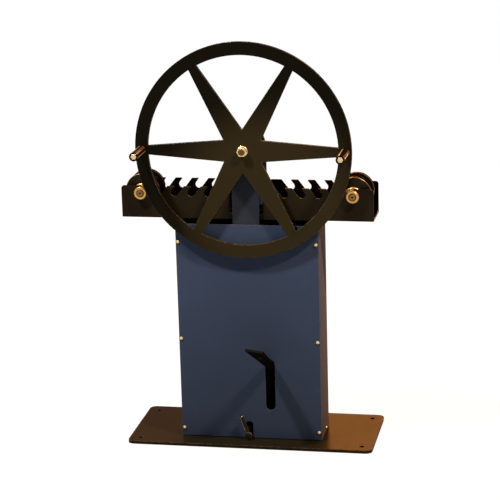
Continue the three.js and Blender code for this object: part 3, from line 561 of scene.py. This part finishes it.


# Bottle jack: a cast base with two ears for the pedal, a turned tank, and the pump's barrel
# beside it. Black enamel, dull with oil; its black is painted shade, as only dark glimpses of
# it show. Its bright ram pushes up the column under the crossbar.
jack_black = enamel("jack_black_enamel", (0.010, 0.008, 0.006), worn=(0.04, 0.034, 0.028),
                    roughness=0.38, gloss=0.2)
for name in ("jack_base", "lift_column"):
    recoated(name, jack_black)
JACK_TOP, TANK_TOP, TANK_FLOOR, TANK, TANK_BORE = 0.0415, 0.2335, 0.0617, 0.042, 0.0224
tank = turned([(0.0, JACK_TOP), (TANK - 0.0015, JACK_TOP), (TANK, JACK_TOP + 0.0015),
               (TANK, TANK_TOP - 0.008), (TANK - 0.002, TANK_TOP - 0.003),
               (TANK - 0.007, TANK_TOP), (TANK_BORE, TANK_TOP), (TANK_BORE, TANK_FLOOR),
               (0.0, TANK_FLOOR)], 72)
finished(moved(tank, (0, CENTRE_Y, 0)), "jack_tank_painted", "pedestal", ["jack_tank"],
         jack_black, 0.0005)
PUMP_Y, PUMP_TOP, PUMP, PUMP_BORE = -0.007, 0.1035, 0.014, 0.0074
pump = turned([(PUMP_BORE, JACK_TOP), (PUMP, JACK_TOP), (PUMP, PUMP_TOP - 0.001),
               (PUMP - 0.001, PUMP_TOP), (PUMP_BORE, PUMP_TOP)], 48)
finished(moved(pump, (PEDAL_X, PUMP_Y, 0)), "pump_body_painted", "pedestal", ["pump_body"],
         jack_black)

steel = plated("bright_steel", (0.26, 0.18, 0.10), (0.12, 0.07, 0.035), 0.30)
RAM, RAM_FOOT, RAM_HEAD, HEAD_BEVEL = 0.022, 0.062, 0.028, 0.002
ram_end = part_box("jack_ram")[1][2]
ram = turned([(0.0, RAM_FOOT), (RAM - 0.0005, RAM_FOOT), (RAM, RAM_FOOT + 0.0005),
              (RAM, ram_end - 0.010), (RAM_HEAD - HEAD_BEVEL, ram_end - 0.010),
              (RAM_HEAD, ram_end - 0.008), (RAM_HEAD, ram_end - HEAD_BEVEL),
              (RAM_HEAD - HEAD_BEVEL, ram_end), (0.0, ram_end)], 64)
finished(moved(ram, (0, CENTRE_Y, 0)), "jack_ram_bright", "crossbar", ["jack_ram"],
         steel)


# Crossbar: two 6 mm plates with five slots on each side, sawn at a slant so that an axle drops in
# and stays, on a welded bottom web. It is open at the middle round the uprights. Black enamel.
black = enamel("satin_black_enamel", (0.0105, 0.0080, 0.0042), worn=(0.026, 0.019, 0.010),
               roughness=0.36, gloss=0.06, dust_and_sheen=0.02, speckle=0.20)
# The rear plate and the web get a far darker black: painted shade behind the front plate.
black_painted_shade = enamel("inner_black_enamel", (0.0016, 0.0012, 0.0008),
                     worn=(0.008, 0.006, 0.004), roughness=0.40, gloss=0.03, dust_and_sheen=0.0)
black_edge = rubbed_paint("rubbed_black_edge", (0.016, 0.012, 0.007), (0.12, 0.085, 0.05))
worn_edge = rubbed_paint("worn_slot_edge", (0.10, 0.065, 0.032), (0.50, 0.36, 0.20))
BAR_LOW, BAR_HIGH, BAR_HALF = 0.658, 0.749, 0.359
SLOT_HALF_WIDTH, SLOT_BOTTOM, SLANT = 0.01075, 0.720, math.radians(37.5)
FIRST_SLOT, SLOT_PITCH, MOUTH_ROUND = 0.1095, 0.048, 0.0012
OPENING_HALF, OPENING_LOW = 0.0475, 0.675


def slot_corners(x):
    """The mouth, the round bottom and the mouth again of one slot on the right-hand side."""
    along = Vector((-math.sin(SLANT), math.cos(SLANT)))
    across = Vector((math.cos(SLANT), math.sin(SLANT)))
    bottom = Vector((x, SLOT_BOTTOM + SLOT_HALF_WIDTH)) - along * SLOT_HALF_WIDTH
    left, right = bottom - across * SLOT_HALF_WIDTH, bottom + across * SLOT_HALF_WIDTH
    left_mouth = left + along * ((BAR_HIGH - left.y) / along.y)
    right_mouth = right + along * ((BAR_HIGH - right.y) / along.y)
    full_round = SLOT_HALF_WIDTH * NEARLY_ROUND
    return [(*left_mouth, MOUTH_ROUND), (*left, full_round), (*right, full_round),
            (*right_mouth, MOUTH_ROUND)]


right_top = [(OPENING_HALF, OPENING_LOW, 0.006), (OPENING_HALF, BAR_HIGH, 0.008)]
for step in range(5):
    right_top += slot_corners(FIRST_SLOT + SLOT_PITCH * step)
right_top += [(BAR_HALF, BAR_HIGH, 0.008), (BAR_HALF, BAR_LOW, 0.001)]
left_top = [(-x, z, radius) for x, z, radius in reversed(right_top)]
for name, coat in (("crossbar_front_plate", black), ("crossbar_rear_plate", black_painted_shade)):
    toothed = sheared_plate([rounded(left_top + right_top, 8)], *depths(name), True)
    finished(toothed, f"{name}_painted", "crossbar", [name], coat, 0.0005,
             worn_edge)
finished(block(*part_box("crossbar_web")), "crossbar_web_painted", "crossbar", ["crossbar_web"],
         black_painted_shade, 0.0006, black_edge)


# Outer dies: turned tool steel with a round groove and bright worn flanges, each on an axle that
# lies in a pair of slots, with spacers inside the plates and zinc-plated collars outside them.
DIE_HALF = 0.035


def die_steel_finish(name, centre, radius):
    """Dark steel on its two end faces, rubbed bright on the flanges' rims, and nearly black over
    the groove and the flanges' outsides between them: a painted dark reflection."""
    metal = Finish(name)
    stains = metal.noise(45.0, detail=6.0, roughness=0.6).stepped(0.45, 0.75)
    rings = metal.noise(1.0, detail=3.0, place=metal.stretched((60.0, 2400.0, 60.0)))
    away = metal.length(metal.off_axis(centre))
    near_rim = away.stepped(radius - 0.0016, radius - 0.0008)
    past_rim = away.stepped(radius - 0.0003, radius)
    rim = near_rim * (1 - past_rim) * (1 - stains * 0.7)
    from_centre = metal.vectors("SUBTRACT", metal.place, centre)
    along = metal.vectors("DOT_PRODUCT", from_centre, (0.0, 1.0, 0.0), output="Value")
    flank = (along * along).stepped((DIE_HALF - 0.0025) ** 2, (DIE_HALF - 0.0005) ** 2)
    shade = metal.blend(stains * 0.5, (0.020, 0.014, 0.008), (0.010, 0.006, 0.003))
    # Nearly black between the two end faces: painted dark reflection.
    shade = metal.blend(flank, (0.0035, 0.0025, 0.0015), shade)
    metal.dress(
        base_color=metal.blend(rim, shade, (0.22, 0.12, 0.055)),
        metallic=1.0,
        specular_tint=(0.30, 0.24, 0.18, 1.0),
        roughness=(rings - 0.5) * 0.2 + stains * 0.12 - rim * 0.08 + 0.38,
        normal=metal.bump(rings * 0.6, 0.12, 0.0008),
    )
    return metal


def end_finish(name, centre, colour):
    """Bright plated rings round an axle: dark with dirt at the joint, and dark in the centre hole
    as painted shade.
    """
    metal = Finish(name)
    stains = metal.noise(120.0, detail=6.0, roughness=0.65).stepped(0.45, 0.70)
    away = metal.length(metal.off_axis(centre))
    joint = away.stepped(0.0078, 0.0088) * (1 - away.stepped(0.0106, 0.0124))
    # Dark in the centre hole: painted shade.
    hole = 1 - away.stepped(0.0024, 0.0040)
    dirt_and_shade = metal.maths("MINIMUM", joint * 0.85 + hole, 1.0)
    shade = metal.blend(stains * 0.5, colour, (0.20, 0.10, 0.035))
    metal.dress(
        base_color=metal.blend(dirt_and_shade, shade, (0.030, 0.016, 0.007)),
        metallic=1.0,
        roughness=stains * 0.16 + dirt_and_shade * 0.20 + 0.28,
        normal=metal.bump(stains, 0.06, 0.0006),
    )
    return metal


def grooved_die(radius, depth, bore):
    """Both flanges, a round groove between them, small chamfers and a plain bore."""
    groove, chamfer, steps = 0.024, 0.0015, 9
    middle = radius - depth + groove
    sweep = math.acos((middle - radius) / groove)
    turns = [sweep * (step / steps - 1) for step in range(2 * steps + 1)]
    curve = [(middle - groove * math.cos(turn), groove * math.sin(turn)) for turn in turns]
    profile = [(bore, -DIE_HALF), (radius - chamfer, -DIE_HALF), (radius, -DIE_HALF + chamfer),
               *curve, (radius, DIE_HALF - chamfer), (radius - chamfer, DIE_HALF),
               (bore, DIE_HALF)]
    return turned(profile, 96, "Y")


AXLE_X, AXLE_Z, AXLE, AXLE_HALF = 0.3015, 0.7298, 0.0095, 0.0703
OUTER_DIE, OUTER_GROOVE, OUTER_BORE, RING_BORE = 0.050, 0.020, 0.0099, 0.0098
for side, word in ((-1, "left"), (1, "right")):
    centre = (side * AXLE_X, CENTRE_Y, AXLE_Z)
    roller_steel = die_steel_finish(f"{word}_die_steel", centre, OUTER_DIE)
    die = grooved_die(OUTER_DIE, OUTER_GROOVE, OUTER_BORE)
    finished(moved(die, centre), f"{word}_die_turned", f"{word}_outer_die", [f"{word}_die"],
             roller_steel, 0.0004)
    axle = turned([(0.0, 0.003 - AXLE_HALF), (0.003, -AXLE_HALF), (AXLE - 0.001, -AXLE_HALF),
                   (AXLE, 0.001 - AXLE_HALF), (AXLE, AXLE_HALF - 0.001),
                   (AXLE - 0.001, AXLE_HALF), (0.003, AXLE_HALF), (0.0, AXLE_HALF - 0.003)],
                  48, "Y")
    axle_finish = end_finish(f"{word}_axle_steel", centre, (0.22, 0.12, 0.045))
    collar_finish = end_finish(f"{word}_collar_zinc", centre, (0.60, 0.32, 0.10))
    finished(moved(axle, centre), f"{word}_axle_bright", "crossbar", [f"{word}_axle"],
             axle_finish)
    for place in ("front", "rear"):
        for kind, outer in (("collar", 0.018), ("spacer", 0.024)):
            name = f"{word}_axle_{kind}_{place}"
            ring = chamfered_ring(RING_BORE, outer, 0.0015, *depths(name))
            finished(moved(ring, (side * AXLE_X, 0, AXLE_Z)), f"{name}_zinc", "crossbar",
                     [name], collar_finish, 0.0003)


# Drive line: a turned shaft, stepped and threaded in front, with the smaller top die keyed to its
# middle between two spacers, a boss behind the wheel and a set collar at the back.
oiled_steel = plated("oiled_shaft_steel", (0.13, 0.060, 0.022), (0.04, 0.018, 0.007), 0.34)
tip, tail = depths("drive_shaft")
WHEEL_FRONT, WHEEL_BACK = -0.109, -0.0995
SHAFT, STUD, THREAD_ROOT, THREAD_PITCH = 0.0125, 0.0095, 0.0086, 0.0016
thread_end, shoulder = WHEEL_FRONT + 0.001, WHEEL_FRONT + 0.002
threads = []
for step in range(int((thread_end - tip - 0.001) / THREAD_PITCH)):
    start = tip + 0.001 + THREAD_PITCH * step
    threads += [(THREAD_ROOT, start), (STUD, start + THREAD_PITCH / 2)]
shaft = turned([(0.0, tip), (0.0078, tip), *threads, (STUD, shoulder), (SHAFT, shoulder),
                (SHAFT, tail - 0.0015), (0.0110, tail), (0.0, tail)], 64, "Y")
finished(moved(shaft, (0, 0, SHAFT_Z)), "drive_shaft_turned", "wheel_and_shaft",
         ["drive_shaft"], oiled_steel)
for name in ("wheel_key", "die_key"):
    recoated(name, steel)
TOP_DIE, TOP_GROOVE, SHAFT_BORE = 0.042, 0.018, 0.0128
top_die_centre = (0, CENTRE_Y, SHAFT_Z)
top_die_steel = die_steel_finish("drive_die_steel", top_die_centre, TOP_DIE)
top_die = grooved_die(TOP_DIE, TOP_GROOVE, SHAFT_BORE)
finished(moved(top_die, top_die_centre), "drive_die_turned", "wheel_and_shaft", ["drive_die"],
         top_die_steel, 0.0004)
for name, outer, slot, finish in (("drive_spacer_front", 0.018, "bright_steel", steel),
                                  ("drive_spacer_rear", 0.018, "bright_steel", steel),
                                  ("wheel_boss", 0.025, "black_paint", black),
                                  ("rear_collar", 0.021, "zinc_plate", zinc)):
    ring = chamfered_ring(SHAFT_BORE, outer, 0.001, *depths(name))
    finished(moved(ring, (0, 0, SHAFT_Z)), f"{name}_turned", "wheel_and_shaft", [name],
             finish, 0.0002)


# Handwheel: flame-cut from 9.5 mm plate, a flat rim and a star of six tapering spokes in one
# piece, edges ground, black enamel. A zinc-plated flange nut holds it on the shaft.
RIM_OUT, RIM_IN, NOTCH, SPOKE_TIP = 0.305, 0.268, 0.061, 0.0263
GRIP_X, BOLT_HOLE = 0.2865, 0.0051


def wheel_window(angle):
    """One of the six openings: an arc inside the rim and a point towards the hub."""
    spread = math.asin(SPOKE_TIP / 2 / RIM_IN)
    middle = angle + math.radians(30)
    first, last = angle + spread, angle + math.radians(60) - spread
    steps = 20
    turns = [first + (last - first) * step / steps for step in range(steps + 1)]
    return [Vector((NOTCH * math.cos(middle), NOTCH * math.sin(middle))),
            *(Vector((RIM_IN * math.cos(turn), RIM_IN * math.sin(turn))) for turn in turns)]


wheel_lines = [round_hole(0, 0, RIM_OUT, 192), round_hole(0, 0, SHAFT_BORE, 48)]
wheel_lines += [round_hole(side * GRIP_X, 0, BOLT_HOLE, 24) for side in (-1, 1)]
wheel_lines += [wheel_window(math.radians(60 * step)) for step in range(6)]
# The wheel's black is lighter in a patch low on its right, darker elsewhere: painted reflection.
wheel_black = enamel(
    "wheel_enamel", (0.0026, 0.0022, 0.0011), worn=(0.020, 0.014, 0.007), roughness=0.36,
    gloss=0.06, dust_and_sheen=0.02, speckle=0.25,
    recoloured_patch=((0.0230, 0.0172, 0.0080), (0.07, WHEEL_FRONT, 0.71), 0.16, 0.34))
wheel = sheared_plate(wheel_lines, WHEEL_FRONT, WHEEL_BACK, True)
finished(moved(wheel, (0, 0, SHAFT_Z)), "handwheel_painted", "wheel_and_shaft", ["handwheel"],
         wheel_black, 0.0007, black_edge)


def hexagon(across, y_low, y_high, bore=0.0):
    """A nut or bolt head along Y, its front corners chamfered, with a hole if it is a nut."""
    corner = across / 2 / math.cos(math.radians(30))
    chamfer = corner * 0.08
    return turned([(bore, y_low), (corner - chamfer * 1.6, y_low), (corner, y_low + chamfer),
                   (corner, y_high), (bore, y_high)], 6, "Y")


NUT_ACROSS, NUT_FLANGE, NUT_FLANGE_THICK = 0.0254, 0.01525, 0.003
nut_front, nut_back = depths("hub_nut")
flange_front = nut_back - NUT_FLANGE_THICK
nut_flange = turned([(RING_BORE, flange_front), (0.0139, flange_front),
                     (NUT_FLANGE, flange_front + 0.0012), (NUT_FLANGE, nut_back),
                     (RING_BORE, nut_back)], 64, "Y")
nut = added(hexagon(NUT_ACROSS, nut_front, flange_front, RING_BORE), nut_flange)
finished(moved(nut, (0, 0, SHAFT_Z)), "hub_nut_zinc", "wheel_and_shaft", ["hub_nut"],
         zinc, 0.0003)


# Grips: glossy black plastic sleeves that turn on long zinc-plated bolts, each with a washer
# against the rim and the bolt's head sunk in its front end. Bright painted highlights run along
# their sides.
GRIP, GRIP_BORE, HEAD_RECESS = 0.0127, 0.0052, 0.0090
WASHER, BOLT, HEAD_ACROSS, HEAD_HEIGHT = 0.011, 0.00475, 0.0143, 0.0064


def grip_plastic(name, middle, marks):
    """Glossy black plastic. Each painted highlight along it is (degrees round it, half width,
    colour).
    """
    plastic = Finish(name)
    smears = plastic.noise(30.0, detail=5.0, roughness=0.6)
    flat = plastic.off_axis(middle)
    on_the_skin = plastic.length(flat).stepped(GRIP - 0.0006, GRIP - 0.0001)
    outward = plastic.vectors("NORMALIZE", flat)
    shade = plastic.blend(smears.stepped(0.5, 0.8) * 0.4, (0.0045, 0.0035, 0.0028),
                          (0.015, 0.010, 0.007))
    for degrees, half_width, colour in marks:
        toward = (math.cos(math.radians(degrees)), 0.0, math.sin(math.radians(degrees)))
        facing = plastic.vectors("DOT_PRODUCT", outward, toward, output="Value")
        edge, core = (math.cos(math.radians(half_width * part)) for part in (1.0, 0.5))
        painted_highlight = facing.stepped(edge, core) * on_the_skin
        patchy = smears.stepped(0.25, 0.60) * 0.5 + 0.5
        shade = plastic.blend(painted_highlight * patchy, shade, colour)
    plastic.dress(
        base_color=shade,
        roughness=(smears - 0.5) * 0.16 + 0.24,
        specular_ior_level=0.0,
        coat_weight=0.09,
        coat_roughness=0.14,
        normal=plastic.bump(smears, 0.05, 0.001),
    )
    return plastic


# Painted highlights along each grip: degrees round it, half width and colour.
painted_highlights_of = {"left": [(50, 24, (0.11, 0.045, 0.018)), (-8, 10, (0.26, 0.18, 0.09)),
                      (112, 16, (0.24, 0.13, 0.10))],
             "right": [(18, 30, (0.20, 0.085, 0.032)), (118, 14, (0.28, 0.18, 0.10))]}
for side, word in ((-1, "left"), (1, "right")):
    place = (side * GRIP_X, 0, SHAFT_Z)
    plastic = grip_plastic(f"{word}_grip_plastic", place, painted_highlights_of[word])
    bolt_front, bolt_back = depths(f"{word}_grip_bolt")
    seat, back = depths(f"{word}_grip")
    front = bolt_front + 0.0004
    sleeve = turned([(GRIP_BORE, seat), (HEAD_RECESS, seat), (HEAD_RECESS, front),
                     (GRIP - 0.0005, front), (GRIP, front + 0.0005), (GRIP, front + 0.0015),
                     (GRIP, back - 0.0015), (GRIP - 0.0015, back), (GRIP_BORE, back)], 64, "Y")
    finished(moved(sleeve, place), f"{word}_grip_sleeve", f"{word}_grip_sleeve",
             [f"{word}_grip"], plastic)
    washer_front, washer_back = depths(f"{word}_grip_washer")
    washer = turned([(BOLT_HOLE, washer_front), (WASHER - 0.0004, washer_front),
                     (WASHER, washer_front + 0.0004), (WASHER, washer_back),
                     (BOLT_HOLE, washer_back)], 48, "Y")
    finished(moved(washer, place), f"{word}_grip_washer_zinc", "wheel_and_shaft",
             [f"{word}_grip_washer"], zinc)
    head_back = bolt_front + HEAD_HEIGHT
    shank = turned([(0.0, head_back), (BOLT, head_back), (BOLT, bolt_back - 0.001),
                    (BOLT - 0.001, bolt_back), (0.0, bolt_back)], 32, "Y")
    bolt = added(hexagon(HEAD_ACROSS, bolt_front, head_back), shank)
    finished(moved(bolt, place), f"{word}_grip_bolt_zinc", "wheel_and_shaft",
             [f"{word}_grip_bolt"], zinc, 0.0002)


# Foot pedal: a 6 mm steel arm that flares to the left into its tread, welded to a barrel as wide
# as itself that turns on the pivot pin. Black enamel, rubbed bright on its edges.
PIVOT = Vector((PEDAL_X, 0.021, 0.157))
SLOPE = math.radians(34)


def along_arm(reach):
    """The place along the arm of a point this far in front of the front panel, pedal up."""
    return (PANEL_FRONT - reach - PIVOT.y) / math.cos(SLOPE)


ARM_HALF, TREAD_LEFT, TREAD_RIGHT, ARM_HALF_THICK = 0.0127, 0.045, 0.0035, 0.003
tread = rounded([(PEDAL_X - ARM_HALF, 0.0, 0), (PEDAL_X - ARM_HALF, along_arm(0.0015), 0.004),
                 (PEDAL_X - TREAD_LEFT, along_arm(0.134), 0.002),
                 (PEDAL_X + TREAD_RIGHT, along_arm(0.117), 0.002),
                 (PEDAL_X + ARM_HALF, along_arm(0.030), 0.006), (PEDAL_X + ARM_HALF, 0.0, 0)])
tread_hole = round_hole(PEDAL_X - 0.0145, along_arm(0.072), 0.0075)
arm = sheared_plate([tread, tread_hole], -ARM_HALF_THICK, ARM_HALF_THICK, False)
cut = bmesh.ops.bisect_plane(arm, geom=arm.verts[:] + arm.edges[:] + arm.faces[:],
                             plane_co=(0, -0.0095, 0), plane_no=(0, 1, 0), clear_outer=True)
cut_edges = [part for part in cut["geom_cut"] if isinstance(part, bmesh.types.BMEdge)]
bmesh.ops.holes_fill(arm, edges=cut_edges, sides=0)
BARREL, BARREL_BORE, PIN, PIN_BEVEL = 0.011, 0.0054, 0.005, 0.0008
barrel = turned([(BARREL_BORE, -ARM_HALF), (BARREL - 0.0005, -ARM_HALF),
                 (BARREL, 0.0005 - ARM_HALF), (BARREL, ARM_HALF - 0.0005),
                 (BARREL - 0.0005, ARM_HALF), (BARREL_BORE, ARM_HALF)], 48, "X")
arm = added(arm, moved(barrel, (PEDAL_X, 0, 0)))
pedal_black = enamel("pedal_enamel", (0.0032, 0.0032, 0.0024), worn=(0.020, 0.018, 0.013),
                     roughness=0.36, gloss=0.06, dust_and_sheen=0.0, speckle=0.2)
pedal_edge = rubbed_paint("rubbed_pedal_edge", (0.08, 0.065, 0.045), (0.50, 0.42, 0.30))
finished(moved(swung(arm, -SLOPE, "X"), (0, PIVOT.y, PIVOT.z)), "foot_pedal_painted", "pedal",
         ["foot_pedal"], pedal_black, 0.0006, pedal_edge)
low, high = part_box("pedal_pivot_pin")
pin = turned([(0.0, low[0]), (PIN - PIN_BEVEL, low[0]), (PIN, low[0] + PIN_BEVEL),
              (PIN, high[0] - PIN_BEVEL), (PIN - PIN_BEVEL, high[0]), (0.0, high[0])], 40, "X")
finished(moved(pin, (0, PIVOT.y, PIVOT.z)), "pedal_pivot_pin_bright", "pedestal",
         ["pedal_pivot_pin"], steel)


# Pump piston and return spring: a turned rod, whose ball end the pedal's arm presses, and a
# spring wound from round wire that lifts both again. Bare steel, dark with oil.
dark_oiled = plated("dark_oiled_steel", (0.020, 0.014, 0.008), (0.010, 0.007, 0.004), 0.34)
ROD, BALL = 0.007, 0.012
low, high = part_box("pump_piston")
ball_z = high[2] - BALL
dome = [(BALL * math.cos(math.radians(9 * step)), ball_z + BALL * math.sin(math.radians(9 * step)))
        for step in range(10)]
piston = turned([(0.0, low[2]), (ROD, low[2]), (ROD, ball_z - 0.005), (BALL, ball_z - 0.005),
                 *dome, (0.0, ball_z + BALL)], 48)
finished(moved(piston, (PEDAL_X, PUMP_Y, 0)), "pump_piston_bright", "pump_plunger",
         ["pump_piston"], dark_oiled)
WIRE, COIL, TURNS, STEPS_A_TURN = 0.0020, 0.0095, 6, 24
low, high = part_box("return_spring")
climb = high[2] - low[2] - WIRE
spring = bmesh.new()
section = bmesh.ops.create_circle(spring, cap_ends=False, segments=10, radius=WIRE / 2)["verts"]
swung(spring, math.pi / 2, "X")
moved(spring, (COIL, 0, low[2] + WIRE / 2))
bmesh.ops.spin(spring, geom=section + spring.edges[:], cent=(0, 0, 0), axis=(0, 0, 1),
               angle=2 * math.pi * TURNS, dvec=(0, 0, climb / (STEPS_A_TURN * TURNS)),
               steps=STEPS_A_TURN * TURNS)
wire_ends = [edge for edge in spring.edges if edge.is_boundary]
bmesh.ops.holes_fill(spring, edges=wire_ends, sides=0)
spring = finished(moved(spring, (PEDAL_X, PUMP_Y, 0)), "return_spring_wound", "pedestal",
                  ["return_spring"], dark_oiled)
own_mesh(spring)


# Release valve: a turned spindle out of the jack's base, and a lever of bare, bent steel strip
# welded to the round boss that clamps on the spindle.
VALVE_Z, SPINDLE = 0.026, 0.006
BOSS, BOSS_BORE, BOSS_BACK, BOSS_LENGTH = 0.010, 0.0063, -0.101, 0.009
valve_steel = plated("valve_steel", (0.017, 0.013, 0.008), (0.009, 0.007, 0.004), 0.36)
lever_edge = plated(
    "lever_edge_steel", (0.42, 0.34, 0.22), (0.12, 0.08, 0.035), 0.30,
    recoloured_patch=((0.008, 0.006, 0.004), (NOTCH_X, -0.105, VALVE_Z), 0.014, 0.022))
spindle_front, spindle_back = depths("release_spindle")
spindle = turned([(0.0, spindle_front), (SPINDLE - 0.001, spindle_front),
                  (SPINDLE, spindle_front + 0.001), (SPINDLE, spindle_back),
                  (0.0, spindle_back)], 40, "Y")
finished(moved(spindle, (NOTCH_X, 0, VALVE_Z)), "release_spindle_bright", "release_valve",
         ["release_spindle"], valve_steel)
boss_front = BOSS_BACK - BOSS_LENGTH
boss = turned([(BOSS_BORE, boss_front), (BOSS - 0.0005, boss_front),
               (BOSS, boss_front + 0.0005), (BOSS, BOSS_BACK), (BOSS_BORE, BOSS_BACK)], 40, "Y")
blade = swung(block((-0.006, -0.0015, 0.0080), (0.006, 0.0015, 0.058)), math.radians(40), "Z")
lever = added(moved(blade, (0, BOSS_BACK - BOSS_LENGTH / 2, 0)), boss)
finished(moved(swung(lever, math.radians(-20), "Y"), (NOTCH_X, 0, VALVE_Z)),
         "release_lever_zinc", "release_valve", ["release_lever"], valve_steel,
         0.0006, lever_edge)
